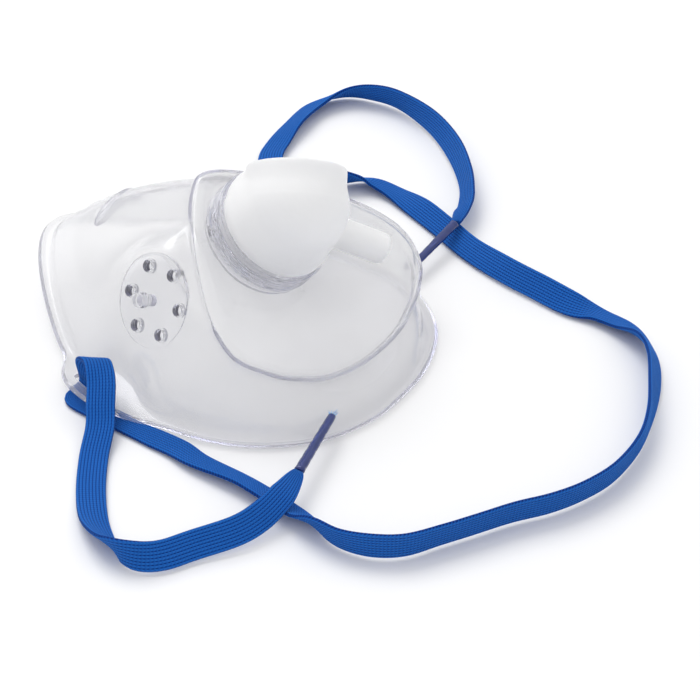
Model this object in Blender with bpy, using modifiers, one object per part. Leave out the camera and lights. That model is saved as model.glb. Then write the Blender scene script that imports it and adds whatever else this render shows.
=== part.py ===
"""Child's oxygen face mask, lying rim down on a table.

One clear vinyl moulding carries the nose section, the flared cheeks, the raised muzzle, two vent discs, a
ribbed collar and two strap ears. A frosted elbow turns in the collar, and one flat elastic is threaded
through both ears. +X runs from nose to chin, +Z up, and the mirror plane of the mask is y = 0.
"""
from math import atan2, cos, degrees, pi, radians, sin, sqrt

import bmesh
import bpy
from mathutils import Matrix, Vector
from mathutils.bvhtree import BVHTree

MM = 0.001
GAP = 0.3 * MM

# Rim of the mask, seen from above: a rounded box at the chin, a narrowing egg at the nose
WIDEST_X = 9.35 * MM
CHIN_REACH = 45.5 * MM
NOSE_REACH = 64.3 * MM
RIM_HALF_WIDTH = 44.2 * MM
CHIN_SQUARENESS = 2.2
NOSE_NARROWING = 0.39
NOSE_LIFT = 11.5 * MM
NOSE_LIFT_START = 0.55
PROBE = radians(0.5)

# Wall and rolled lip
WALL = 1.1 * MM
LIP_WIDTH = 2.8 * MM
LIP_CURL = 1.1 * MM
LIP_ROLL = 0.35 * LIP_WIDTH
FLANGE_RISE = 0.1 * LIP_CURL
FOOT_RISE = 1.6 * LIP_CURL
REST_LIFT = -0.049 * MM
CHEEK_BULGE = 0.10
RIDGE_BULGE = 0.045
CHEEK_ONSET = 1.6
FOOT_HANDLE = 0.28
TOP_HANDLE = 0.68
FOOT_FULLNESS = 1.5
COLUMNS = 36
WALL_ROWS = 3

# Ears for the strap
EAR_ANGLE = 108.5
EAR_SPAN = 11.0
EAR_PROUD = 5.2 * MM
EAR_DEPTH = 4.6 * MM
EAR_RISE = 1.9 * MM
EAR_LIFT_ANGLE = EAR_ANGLE - 3.5
EAR_LIFT_SPAN = 15.0
EAR_LIFT_BLEND = 10.0
SLOT_LENGTH = 9.0 * MM
SLOT_WIDTH = 2.8 * MM
SLOT_INSET = 3.6 * MM
SLOT_ROUNDING = 0.42 * SLOT_WIDTH

# Raised muzzle: an egg in a plane that slopes down to the chin
MUZZLE_X = 27.5 * MM
MUZZLE_Z = 22.4 * MM
MUZZLE_TILT = 32.0
MUZZLE_FRONT = 23.2 * MM
MUZZLE_BACK = 40.0 * MM
MUZZLE_HALF_WIDTH = 36.3 * MM
MUZZLE_NARROWING = 0.5
MUZZLE_STEP = 3.6 * MM
MUZZLE_EDGE = 1.5 * MM
MUZZLE_DISH = 1.2 * MM
# Section over the muzzle's edge from the valley inward: how far it grows outward, and its height
MUZZLE_SECTION = [
    (MUZZLE_EDGE, -MUZZLE_STEP),
    (0.6 * MUZZLE_EDGE, -0.35 * MUZZLE_STEP),
    (-0.5 * MUZZLE_EDGE, 0.0),
    (-3.0 * MUZZLE_EDGE, -0.3 * MUZZLE_DISH),
]
DISH_MIDDLE = 0.55

# Collar that holds the elbow
COLLAR_TILT = 40.0
COLLAR_BORE = 12.7 * MM
COLLAR_WALL = 2.4 * MM
COLLAR_MARGIN = 6.7 * MM
COLLAR_BACK = MUZZLE_BACK - COLLAR_MARGIN - COLLAR_WALL - COLLAR_BORE
COLLAR_HEIGHT = 6.5 * MM
COLLAR_ROOT = 1.8 * MM
COLLAR_EDGE = 0.3 * MM
RIB_COUNT = 3
RIB_PROUD = 0.4 * MM
RIB_START = 0.5 * MM
RIB_END = 0.9 * MM
GROOVE_LOW = 2.0 * MM
GROOVE_HIGH = 3.2 * MM
GROOVE_RAMP = 0.8 * MM

# Vent discs on the cheeks
VENT_CENTRE = Vector((0.3, -29.2, 24.2)) * MM
VENT_NORMAL = Vector((-0.23, -0.88, 0.41)).normalized()
VENT_RADIUS = 11.6 * MM
VENT_PROUD = 0.35 * MM
VENT_FLAT = 13.5 * MM
VENT_BLEND = 20.0 * MM
HOLE_COUNT = 6
HOLE_PHASE = 0.03
HOLE_RADIUS = 1.45 * MM
HOLE_CIRCLE = 8.6 * MM
POST_RADIUS = 1.4 * MM
POST_HEAD_RADIUS = 2.2 * MM
POST_HEAD_LENGTH = 1.6 * MM
POST_LENGTH = 3.0 * MM

# Bar across the nose
BAR_X = -36.6 * MM
BAR_HALF_LENGTH = 8.0 * MM
BAR_RADIUS = 1.3 * MM
BAR_PROUD = 0.2 * MM

# Swivelling elbow, measured along and round the collar's axis
ELBOW_TURN = 142.0
NOZZLE_TURN = -102.0
ELBOW_WALL = 1.5 * MM
SHOULDER_RADIUS = 14.8 * MM
SHOULDER_HEIGHT = 3.0 * MM
SHOULDER_EDGE = 0.4 * MM
NECK_EDGE = 0.4 * MM
BEAD = 0.45 * MM
BEAD_RAMP = 0.5 * MM
BALL_RADIUS = 13.2 * MM
BALL_HEIGHT = 16.2 * MM
OUTLET_BORE = 10.8 * MM
OUTLET_WALL = 1.5 * MM
OUTLET_LENGTH = 9.4 * MM
OUTLET_LEAN = 20.0
NOZZLE_HEIGHT = 12.3 * MM
NOZZLE_RADIUS = 4.1 * MM
NOZZLE_TIP_RADIUS = 4.0 * MM
NOZZLE_BORE = 1.9 * MM
NOZZLE_REACH = 27.7 * MM

# Elastic strap
STRAP_WIDTH = 7.0 * MM
STRAP_THICKNESS = 1.2 * MM
STRAP_FLAT = 0.86
STRAP_EDGE = 0.45
TIP_RADIUS = 1.3 * MM
TIP_LENGTH = 24.0 * MM
NEAR_TIP_AIM = Vector((48.1, -22.6, 5.7)) * MM
FAR_TIP_AIM = Vector((26.6, 44.6, 4.0)) * MM
STATION_STEP = 6.0 * MM

# Route of the strap from the near tail to the far one, in mm: the middle of the braid, the direction of its
# width, and the share of its full width. It was followed by eye along the braid, fold by fold.
STRAP_ROUTE = [
    ((54.7, -46.6, 6.0), (0.9, 0.1, -0.3), 0.36),
    ((55.5, -49.5, 6.1), (0.87, 0.1, -0.5), 0.62),
    ((57.0, -56.2, 6.4), (0.78, 0.05, -0.62), 0.92),
    ((56.6, -63.9, 5.2), (0.62, -0.2, -0.75), 1.0),
    ((54.5, -70.7, 4.3), (0.55, -0.28, -0.79), 1.0),
    ((49.1, -79.5, 3.6), (0.53, -0.3, -0.79), 1.0),
    ((45.6, -86.3, 3.6), (0.47, -0.35, -0.81), 1.0),
    ((42.0, -90.0, 4.0), (0.14, -0.35, -0.93), 1.0),
    ((37.3, -91.2, 4.25), (0.0, 0.09, -1.0), 1.0),
    ((34.1, -90.3, 3.8), (0.15, 0.47, -0.87), 1.0),
    ((29.8, -88.0, 2.9), (0.39, 0.67, -0.62), 1.0),
    ((22.7, -82.6, 1.65), (0.69, 0.68, -0.26), 1.0),
    ((14.7, -73.5, 0.9), (0.78, 0.62, 0.0), 1.0),
    ((7.6, -63.4, 1.3), (0.83, 0.56, 0.0), 1.0),
    ((3.2, -55.3, 3.4), (0.85, 0.5, 0.0), 1.0),
    ((0.3, -51.2, 6.2), (0.86, 0.5, 0.0), 1.0),
    ((-2.7, -46.9, 9.0), (0.87, 0.45, 0.05), 1.0),
    ((-5.2, -44.3, 10.6), (0.9, 0.4, 0.15), 1.0),
    ((-7.6, -42.3, 11.0), (0.92, 0.28, 0.26), 1.0),
    ((-9.9, -41.2, 9.8), (0.95, 0.1, 0.28), 1.0),
    ((-11.3, -41.1, 7.6), (0.96, -0.15, 0.12), 1.0),
    ((-11.6, -41.6, 5.6), (0.934, -0.357, 0.0), 1.0),
    ((-11.57, -41.8, 3.6), (0.934, -0.357, 0.0), 0.92),
    ((-11.6, -41.9, 2.0), (0.934, -0.357, 0.0), 0.88),
    ((-11.8, -42.7, 0.95), (0.934, -0.357, 0.0), 0.82),
    ((-12.2, -44.3, 0.8), (0.95, -0.3, 0.0), 0.72),
    ((-12.3, -45.8, 0.8), (0.98, 0.17, 0.0), 0.66),
    ((-11.0, -47.3, 0.8), (0.71, 0.71, 0.0), 0.66),
    ((-8.0, -47.9, 0.8), (0.15, 0.98, 0.0), 0.7),
    ((-3.0, -48.0, 0.8), (0.0, 1.0, 0.0), 0.8),
    ((3.0, -48.3, 0.8), (0.0, 1.0, 0.0), 0.8),
    ((9.0, -48.7, 0.8), (0.0, 1.0, 0.0), 0.84),
    ((14.8, -48.9, 0.85), (0.0, 1.0, 0.0), 0.95),
    ((22.0, -49.4, 1.0), (0.0, 0.99, -0.06), 1.0),
    ((29.1, -51.0, 1.35), (0.02, 0.985, -0.165), 1.0),
    ((40.8, -51.8, 1.9), (0.1, 0.94, -0.32), 1.0),
    ((47.0, -52.6, 1.9), (0.15, 0.93, -0.32), 1.0),
    ((54.0, -54.0, 1.9), (0.2, 0.93, -0.31), 1.0),
    ((61.9, -56.0, 2.25), (0.25, 0.87, -0.42), 1.0),
    ((69.1, -58.9, 3.95), (0.1, 0.41, -0.91), 1.0),
    ((75.9, -59.9, 4.15), (0.0, 0.26, -0.97), 1.0),
    ((83.1, -58.0, 4.3), (-0.04, 0.1, -0.99), 1.0),
    ((89.0, -53.6, 4.25), (-0.09, 0.11, -0.99), 1.0),
    ((93.7, -45.8, 4.2), (-0.19, 0.11, -0.97), 1.0),
    ((97.9, -38.4, 4.2), (-0.2, 0.11, -0.97), 1.0),
    ((102.6, -29.9, 4.2), (-0.2, 0.12, -0.97), 1.0),
    ((108.0, -22.0, 4.2), (-0.2, 0.12, -0.97), 1.0),
    ((111.8, -13.8, 4.2), (-0.22, 0.09, -0.97), 1.0),
    ((114.1, -3.7, 4.2), (-0.2, 0.0, -0.98), 1.0),
    ((113.5, 8.5, 4.25), (-0.14, -0.03, -0.99), 1.0),
    ((110.4, 19.6, 4.3), (0.03, 0.01, -1.0), 1.0),
    ((104.8, 32.5, 4.1), (0.31, 0.18, -0.93), 1.0),
    ((98.8, 43.1, 3.9), (0.37, 0.28, -0.88), 1.0),
    ((92.8, 49.4, 3.6), (0.36, 0.46, -0.81), 1.0),
    ((84.5, 54.4, 2.0), (0.28, 0.89, -0.34), 1.0),
    ((75.5, 56.2, 1.4), (0.05, 0.98, -0.17), 1.0),
    ((67.7, 55.2, 2.6), (0.0, 0.85, 0.5), 1.0),
    ((58.6, 56.2, 3.3), (0.14, 0.67, 0.73), 1.0),
    ((46.9, 58.6, 3.25), (0.18, 0.69, 0.7), 1.0),
    ((33.2, 63.6, 2.2), (0.37, 0.85, 0.39), 1.0),
    ((22.0, 68.9, 1.95), (0.4, 0.86, 0.32), 1.0),
    ((10.8, 73.7, 2.0), (0.36, 0.87, 0.34), 1.0),
    ((0.5, 77.8, 1.3), (0.2, 0.97, -0.14), 1.0),
    ((-7.2, 78.2, 2.1), (0.0, 0.94, -0.34), 1.0),
    ((-12.2, 75.3, 3.2), (-0.35, 0.61, -0.71), 1.0),
    ((-15.8, 70.7, 3.95), (-0.32, 0.2, -0.92), 1.0),
    ((-17.6, 65.0, 3.9), (-0.45, 0.05, -0.88), 1.0),
    ((-17.6, 59.0, 3.1), (-0.77, -0.05, -0.64), 1.0),
    ((-16.2, 53.2, 1.9), (-0.88, -0.25, -0.35), 0.97),
    ((-14.4, 48.5, 0.95), (-0.93, -0.33, -0.03), 0.9),
    ((-13.0, 45.6, 0.8), (-0.934, -0.357, 0.0), 0.8),
    ((-11.9, 42.9, 0.9), (-0.934, -0.357, 0.0), 0.82),
    ((-11.6, 41.9, 2.0), (-0.934, -0.357, 0.0), 0.88),
    ((-11.57, 41.8, 3.6), (-0.934, -0.357, 0.0), 0.92),
    ((-11.5, 41.4, 5.8), (-0.934, -0.357, 0.0), 1.0),
    ((-12.0, 41.9, 8.0), (-0.934, -0.357, 0.0), 1.0),
    ((-13.6, 44.1, 9.3), (-0.93, -0.36, 0.0), 1.0),
    ((-16.4, 47.6, 8.6), (-0.92, -0.38, 0.0), 1.0),
    ((-20.0, 52.0, 6.4), (-0.9, -0.43, 0.0), 1.0),
    ((-24.5, 57.2, 3.8), (-0.85, -0.53, 0.0), 1.0),
    ((-29.5, 62.8, 1.9), (-0.85, -0.53, 0.0), 1.0),
    ((-35.0, 68.8, 1.15), (-0.9, -0.42, -0.08), 1.0),
    ((-39.6, 75.4, 1.4), (-0.95, -0.25, -0.17), 1.0),
    ((-41.9, 82.3, 1.5), (-0.95, -0.2, -0.19), 1.0),
    ((-43.9, 92.5, 2.3), (-0.9, -0.09, -0.43), 1.0),
    ((-44.9, 104.5, 2.3), (-0.89, 0.18, -0.41), 1.0),
    ((-41.2, 113.6, 3.2), (-0.475, 0.54, -0.69), 1.0),
    ((-33.4, 117.3, 4.05), (-0.08, 0.4, -0.91), 1.0),
    ((-24.1, 117.4, 4.3), (0.02, 0.17, -0.98), 1.0),
    ((-9.9, 112.1, 4.25), (-0.13, -0.18, -0.97), 1.0),
    ((2.9, 103.2, 4.0), (-0.33, -0.28, -0.9), 1.0),
    ((13.7, 91.9, 4.0), (-0.36, -0.24, -0.9), 1.0),
    ((19.9, 82.4, 3.8), (-0.57, -0.25, -0.79), 0.95),
    ((22.6, 76.0, 4.5), (-0.8, -0.2, -0.5), 0.75),
    ((24.4, 71.2, 5.1), (-0.93, -0.1, -0.3), 0.5),
    ((25.2, 68.4, 5.2), (-0.95, -0.05, -0.2), 0.36),
]

ROUND_STEPS = 48


def clear_scene():
    for thing in list(bpy.data.objects):
        bpy.data.objects.remove(thing, do_unlink=True)
    for group in list(bpy.data.collections):
        bpy.data.collections.remove(group)


def make_collection(name):
    group = bpy.data.collections.new(name)
    bpy.context.scene.collection.children.link(group)
    return group


def make_material(name, colour, roughness, alpha=1.0):
    material = bpy.data.materials.new(name)
    material.use_nodes = True
    shader = material.node_tree.nodes["Principled BSDF"]
    shader.inputs["Base Color"].default_value = (*colour, 1.0)
    shader.inputs["Roughness"].default_value = roughness
    shader.inputs["Metallic"].default_value = 0.0
    shader.inputs["Alpha"].default_value = alpha
    return material


def smoothstep(value):
    value = min(max(value, 0.0), 1.0)
    return value * value * (3.0 - 2.0 * value)


# Rim outline

def rim_plan(theta):
    """Outer edge of the lip in plan, without the ears."""
    c, s = cos(theta), sin(theta)
    if c >= 0.0:
        power = 2.0 / CHIN_SQUARENESS
        return Vector((WIDEST_X + CHIN_REACH * c ** power, copysign_power(s, power) * RIM_HALF_WIDTH, 0.0))
    narrow = 1.0 - NOSE_NARROWING * c * c
    return Vector((WIDEST_X + NOSE_REACH * c, RIM_HALF_WIDTH * s * narrow, 0.0))


def copysign_power(value, power):
    return abs(value) ** power * (1.0 if value >= 0.0 else -1.0)


def rim_outward(theta):
    along = rim_plan(theta + PROBE) - rim_plan(theta - PROBE)
    return Vector((along.y, -along.x, 0.0)).normalized()


def degrees_from(theta, middle):
    """Degrees round the rim from a place that lies the same on both sides."""
    return abs(abs((degrees(theta) + 180.0) % 360.0 - 180.0) - middle)


def ear_amount(theta):
    """1 in the middle of either ear, 0 away from it."""
    return smoothstep(1.0 - degrees_from(theta, EAR_ANGLE) / (2.0 * EAR_SPAN))


def rim_height(theta):
    """The rim lifts over the bridge of the nose, and at each ear so that the strap passes under it."""
    nose = max(0.0, -cos(theta) - NOSE_LIFT_START) / (1.0 - NOSE_LIFT_START)
    ear = smoothstep((EAR_LIFT_SPAN - degrees_from(theta, EAR_LIFT_ANGLE)) / EAR_LIFT_BLEND)
    return WALL + REST_LIFT + NOSE_LIFT * nose + EAR_RISE * ear


def lip_point(theta, inset, rise):
    """A point of the flange, inset from its outer edge."""
    outward = rim_outward(theta)
    ear = ear_amount(theta)
    place = rim_plan(theta) + outward * (EAR_PROUD * ear - inset)
    place.z = rim_height(theta) + rise
    return place


def flange_width(theta):
    return LIP_WIDTH + (EAR_PROUD + EAR_DEPTH) * ear_amount(theta)


# Muzzle plane and collar axis

MUZZLE_NORMAL = Vector((sin(radians(MUZZLE_TILT)), 0.0, cos(radians(MUZZLE_TILT))))
MUZZLE_DOWN = Vector((cos(radians(MUZZLE_TILT)), 0.0, -sin(radians(MUZZLE_TILT))))
MUZZLE_ORIGIN = Vector((MUZZLE_X, 0.0, MUZZLE_Z))
SIDEWAYS = Vector((0.0, 1.0, 0.0))

COLLAR_AXIS = Vector((sin(radians(COLLAR_TILT)), 0.0, cos(radians(COLLAR_TILT))))
COLLAR_DOWN = Vector((cos(radians(COLLAR_TILT)), 0.0, -sin(radians(COLLAR_TILT))))
COLLAR_ORIGIN = MUZZLE_ORIGIN - MUZZLE_DOWN * COLLAR_BACK - MUZZLE_NORMAL * MUZZLE_DISH
COLLAR_RADIUS = COLLAR_BORE + COLLAR_WALL


def muzzle_outline(theta):
    c, s = cos(theta), sin(theta)
    if c >= 0.0:
        return MUZZLE_FRONT * c, MUZZLE_HALF_WIDTH * s
    return MUZZLE_BACK * c, MUZZLE_HALF_WIDTH * s * (1.0 - MUZZLE_NARROWING * (-c) ** 1.3)


def muzzle_point(theta, grow, height):
    """A point round the muzzle, grown outward in its plane and raised along its normal."""
    u0, v0 = muzzle_outline(theta - PROBE)
    u1, v1 = muzzle_outline(theta + PROBE)
    size = sqrt((u1 - u0) ** 2 + (v1 - v0) ** 2)
    u, v = muzzle_outline(theta)
    u += grow * (v1 - v0) / size
    v -= grow * (u1 - u0) / size
    return MUZZLE_ORIGIN + MUZZLE_DOWN * u + SIDEWAYS * v + MUZZLE_NORMAL * height


def collar_point(angle, radius, height):
    """A point in the collar's own frame, angle 0 towards the chin."""
    return (COLLAR_ORIGIN + COLLAR_DOWN * (radius * cos(angle)) + SIDEWAYS * (radius * sin(angle))
            + COLLAR_AXIS * height)


def collar_matrix():
    """Places a turned piece, modelled about +Z, on the collar's axis."""
    frame = Matrix((COLLAR_DOWN, SIDEWAYS, COLLAR_AXIS)).transposed().to_4x4()
    frame.translation = COLLAR_ORIGIN
    return frame


# Shell

def press_flat(place):
    """Flattens the cheek round each vent disc, so that the disc is a true plane."""
    for side in (1.0, -1.0):
        centre = Vector((VENT_CENTRE.x, VENT_CENTRE.y * side, VENT_CENTRE.z))
        normal = Vector((VENT_NORMAL.x, VENT_NORMAL.y * side, VENT_NORMAL.z))
        offset = place - centre
        depth = offset.dot(normal)
        reach = (offset - normal * depth).length
        if abs(depth) < VENT_RADIUS:
            place = place - normal * depth * (1.0 - smoothstep((reach - VENT_FLAT) / (VENT_BLEND - VENT_FLAT)))
    return place


def wall_point(foot, top, share, swell):
    """Cubic from the foot of the wall to the valley below the muzzle, bulged outward."""
    span = top - foot
    across = Vector((-span.y, span.x, 0.0))
    outward = span.cross(across).normalized()
    if outward.z < 0.0:
        outward.negate()
    bulge = span.length * swell
    first = foot + span * FOOT_HANDLE + outward * bulge * FOOT_FULLNESS
    second = foot + span * TOP_HANDLE + outward * bulge
    a, b = 1.0 - share, share
    return foot * a ** 3 + first * (3 * a * a * b) + second * (3 * a * b * b) + top * b ** 3


def shell_rows():
    """The cage of the outer skin, ring by ring from the lip to the collar."""
    angles = [2.0 * pi * i / COLUMNS for i in range(COLUMNS)]
    rows = [
        [lip_point(t, 0.0, LIP_CURL) for t in angles],
        [lip_point(t, LIP_ROLL, 0.0) for t in angles],
        [lip_point(t, flange_width(t) - LIP_ROLL, FLANGE_RISE) for t in angles],
    ]
    feet = [lip_point(t, flange_width(t), FOOT_RISE) for t in angles]
    valley, step, edge, inner = [[muzzle_point(t, grow, height) for t in angles]
                                 for grow, height in MUZZLE_SECTION]
    rows.append(feet)
    swells = [RIDGE_BULGE + (CHEEK_BULGE - RIDGE_BULGE) * min(1.0, CHEEK_ONSET * abs(sin(t))) for t in angles]
    for k in range(1, WALL_ROWS + 1):
        share = k / (WALL_ROWS + 1)
        rows.append([press_flat(wall_point(f, v, share, s)) for f, v, s in zip(feet, valley, swells)])
    rows += [[press_flat(v) for v in valley], step, edge, inner]
    ring = []
    for point in inner:
        offset = point - COLLAR_ORIGIN
        angle = atan2(offset.dot(SIDEWAYS), offset.dot(COLLAR_DOWN))
        ring.append(collar_point(angle, COLLAR_BORE + DISH_MIDDLE * COLLAR_WALL, 0.0))
    sunk = MUZZLE_NORMAL * 0.3 * MUZZLE_DISH
    rows.append([a.lerp(b, DISH_MIDDLE) - sunk for a, b in zip(inner, ring)])
    rows.append(ring)
    return rows


def mesh_object(name, mesh, group, material=None):
    thing = bpy.data.objects.new(name, mesh)
    group.objects.link(thing)
    if material is not None:
        mesh.materials.append(material)
    return thing


def loft_rings(name, rings, group, closed_ends=False):
    """Skins closed rings of equal length, first ring to last."""
    bm = bmesh.new()
    loops = [[bm.verts.new(p) for p in ring] for ring in rings]
    count = len(rings[0])
    for lower, upper in zip(loops, loops[1:]):
        for i in range(count):
            j = (i + 1) % count
            bm.faces.new((lower[i], lower[j], upper[j], upper[i]))
    if closed_ends:
        bm.faces.new(list(reversed(loops[0])))
        bm.faces.new(loops[-1])
    mesh = bpy.data.meshes.new(name)
    bm.to_mesh(mesh)
    bm.free()
    return mesh_object(name, mesh, group)


def bake(thing):
    """Replaces an object's mesh by its evaluated one and drops its modifiers."""
    bpy.context.view_layer.update()
    graph = bpy.context.evaluated_depsgraph_get()
    mesh = bpy.data.meshes.new_from_object(thing.evaluated_get(graph))
    thing.modifiers.clear()
    thing.data = mesh
    return thing


def turned(name, profile, group, steps=ROUND_STEPS):
    """Screws a profile of (radius, height) round +Z."""
    mesh = bpy.data.meshes.new(name)
    mesh.from_pydata([(r, 0.0, z) for r, z in profile], [(i, i + 1) for i in range(len(profile) - 1)], [])
    thing = mesh_object(name, mesh, group)
    screw = thing.modifiers.new("Screw", "SCREW")
    screw.steps = steps
    screw.render_steps = steps
    screw.use_merge_vertices = True
    screw.merge_threshold = 0.00001
    screw.use_smooth_shade = True
    return thing


def boolean(target, cutter, operation):
    step = target.modifiers.new(operation.title() + " " + cutter.name, "BOOLEAN")
    step.operation = operation
    step.solver = "EXACT"
    step.object = cutter


def as_cutter(thing):
    thing.hide_render = True
    thing.display_type = "WIRE"
    return thing


def cylinder(name, radius, start, direction, length, group, tip_radius=None, steps=24):
    """A solid rod or cone from a point along a direction."""
    bm = bmesh.new()
    bmesh.ops.create_cone(bm, cap_ends=True, segments=steps, radius1=radius,
                          radius2=radius if tip_radius is None else tip_radius, depth=length)
    bmesh.ops.translate(bm, verts=bm.verts, vec=(0.0, 0.0, 0.5 * length))
    mesh = bpy.data.meshes.new(name)
    bm.to_mesh(mesh)
    bm.free()
    thing = mesh_object(name, mesh, group)
    thing.matrix_world = Matrix.Translation(start) @ direction.to_track_quat("Z", "Y").to_matrix().to_4x4()
    return thing


def ribbed_collar(group):
    """Outer profile of the sleeve runs down its ribs, then up the bore past the snap groove."""
    top, foot = COLLAR_HEIGHT, -COLLAR_ROOT
    profile = [(COLLAR_BORE, top), (COLLAR_RADIUS - COLLAR_EDGE, top), (COLLAR_RADIUS, top - COLLAR_EDGE)]
    pitch = (COLLAR_HEIGHT - RIB_START - RIB_END) / RIB_COUNT
    for i in range(RIB_COUNT):
        z = top - RIB_START - pitch * (i + 0.5)
        profile += [(COLLAR_RADIUS, z + 0.35 * pitch), (COLLAR_RADIUS + RIB_PROUD, z),
                    (COLLAR_RADIUS, z - 0.35 * pitch)]
    groove = COLLAR_BORE + BEAD + GAP
    profile += [(COLLAR_RADIUS, foot), (COLLAR_BORE, foot),
                (COLLAR_BORE, GROOVE_LOW - GROOVE_RAMP), (groove, GROOVE_LOW),
                (groove, GROOVE_HIGH), (COLLAR_BORE, GROOVE_HIGH + GROOVE_RAMP),
                (COLLAR_BORE, top)]
    thing = turned("collar sleeve", profile, group)
    thing.matrix_world = collar_matrix()
    return as_cutter(thing)


def vent_frame(side):
    """Axes of a vent disc: in its plane towards the chin, in its plane upward, and its normal."""
    centre = Vector((VENT_CENTRE.x, VENT_CENTRE.y * side, VENT_CENTRE.z))
    normal = Vector((VENT_NORMAL.x, VENT_NORMAL.y * side, VENT_NORMAL.z))
    forward = (Vector((1.0, 0.0, 0.0)) - normal * normal.x).normalized()
    upward = normal.cross(forward) if side > 0 else forward.cross(normal)
    if upward.z < 0:
        upward.negate()
    return centre, forward, upward, normal


def add_vents(shell, group):
    for side, label in ((1.0, "near"), (-1.0, "far")):
        centre, forward, upward, normal = vent_frame(side)
        disc = cylinder(f"vent disc {label}", VENT_RADIUS, centre - normal * 0.6 * WALL, normal,
                        0.6 * WALL + VENT_PROUD, group, steps=ROUND_STEPS)
        boolean(shell, as_cutter(disc), "UNION")
        stem = cylinder(f"vent post {label}", POST_RADIUS, centre - normal * 0.5 * WALL, normal,
                        POST_LENGTH + 0.5 * WALL - 0.5 * POST_HEAD_LENGTH, group, steps=16)
        boolean(shell, as_cutter(stem), "UNION")
        head = cylinder(f"vent post head {label}", POST_HEAD_RADIUS,
                        centre + normal * (POST_LENGTH - POST_HEAD_LENGTH), normal, POST_HEAD_LENGTH, group,
                        tip_radius=0.8 * POST_HEAD_RADIUS, steps=16)
        boolean(shell, as_cutter(head), "UNION")
        for i in range(HOLE_COUNT):
            angle = 2.0 * pi * (i + HOLE_PHASE) / HOLE_COUNT
            place = centre + (forward * cos(angle) + upward * sin(angle)) * HOLE_CIRCLE
            hole = cylinder(f"vent hole {label} {i + 1}", HOLE_RADIUS, place - normal * 2.0 * WALL, normal,
                            4.0 * WALL, group, steps=12)
            boolean(shell, as_cutter(hole), "DIFFERENCE")


def slot_place(side):
    """Middle of the strap slot and the direction of its length, side 1 for the far ear."""
    theta = radians(EAR_ANGLE) * side
    middle = lip_point(theta, SLOT_INSET, 0.0)
    outward = rim_outward(theta)
    return middle, Vector((-outward.y, outward.x, 0.0)), outward


def add_strap_slots(shell, group):
    for side, label in ((-1.0, "near"), (1.0, "far")):
        middle, along, outward = slot_place(side)
        bm = bmesh.new()
        bmesh.ops.create_cube(bm, size=1.0)
        bmesh.ops.scale(bm, verts=bm.verts, vec=(SLOT_LENGTH, SLOT_WIDTH, 8.0 * WALL))
        upright = [e for e in bm.edges if abs(e.verts[0].co.z - e.verts[1].co.z) > WALL]
        bmesh.ops.bevel(bm, geom=upright, offset=SLOT_ROUNDING, segments=4, affect="EDGES")
        mesh = bpy.data.meshes.new(f"strap slot {label}")
        bm.to_mesh(mesh)
        bm.free()
        slot = mesh_object(f"strap slot {label}", mesh, group)
        frame = Matrix((along, outward, along.cross(outward))).transposed().to_4x4()
        frame.translation = middle
        slot.matrix_world = frame
        boolean(shell, as_cutter(slot), "DIFFERENCE")


def add_nose_bar(shell, skin, group):
    """A rounded bar that follows the crown of the nose from side to side."""
    points = []
    for i in range(7):
        y = BAR_HALF_LENGTH * (i / 3.0 - 1.0)
        hit = skin.ray_cast(Vector((BAR_X, y, 0.2)), Vector((0.0, 0.0, -1.0)))
        points.append(hit[0] + hit[1] * (BAR_PROUD - BAR_RADIUS))
    curve = bpy.data.curves.new("nose bar", "CURVE")
    curve.dimensions = "3D"
    curve.bevel_depth = BAR_RADIUS
    curve.bevel_resolution = 2
    curve.use_fill_caps = True
    spline = curve.splines.new("POLY")
    spline.points.add(len(points) - 1)
    for slot, place in zip(spline.points, points):
        slot.co = (*place, 1.0)
    path = bpy.data.objects.new("nose bar", curve)
    group.objects.link(path)
    bpy.context.view_layer.update()
    graph = bpy.context.evaluated_depsgraph_get()
    mesh = bpy.data.meshes.new_from_object(path.evaluated_get(graph))
    bpy.data.objects.remove(path, do_unlink=True)
    bm = bmesh.new()
    bm.from_mesh(mesh)
    bmesh.ops.remove_doubles(bm, verts=bm.verts, dist=0.00001)
    bm.to_mesh(mesh)
    bm.free()
    boolean(shell, as_cutter(mesh_object("nose bar", mesh, group)), "UNION")


def make_shell(group, cutters, material):
    shell = loft_rings("mask_shell", shell_rows(), group)
    subdivide = shell.modifiers.new("Subdivide", "SUBSURF")
    subdivide.levels = 1
    subdivide.render_levels = 1
    bake(shell)
    bm = bmesh.new()
    bm.from_mesh(shell.data)
    skin = BVHTree.FromBMesh(bm)
    bm.free()
    wall = shell.modifiers.new("Wall", "SOLIDIFY")
    wall.thickness = WALL
    wall.offset = -1.0
    wall.use_even_offset = True
    boolean(shell, ribbed_collar(cutters), "UNION")
    add_vents(shell, cutters)
    add_nose_bar(shell, skin, cutters)
    add_strap_slots(shell, cutters)
    shell.data.materials.clear()
    shell.data.materials.append(material)
    return shell


# Elbow

def elbow_direction(turn, lean=0.0):
    """A direction in the collar's frame, turned from the chin and leaned up from the collar's plane."""
    flat = COLLAR_DOWN * cos(radians(turn)) + SIDEWAYS * sin(radians(turn))
    return flat * cos(radians(lean)) + COLLAR_AXIS * sin(radians(lean))


def ball_profile(radius, foot_radius, foot_height, steps=10):
    """From the pole of the ball down to where it meets the foot's radius."""
    profile = [(0.0, BALL_HEIGHT + radius)]
    for i in range(1, steps + 1):
        angle = 0.5 * pi * i / steps
        profile.append((radius * sin(angle), BALL_HEIGHT + radius * cos(angle)))
    profile.append((foot_radius, foot_height))
    return profile


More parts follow.
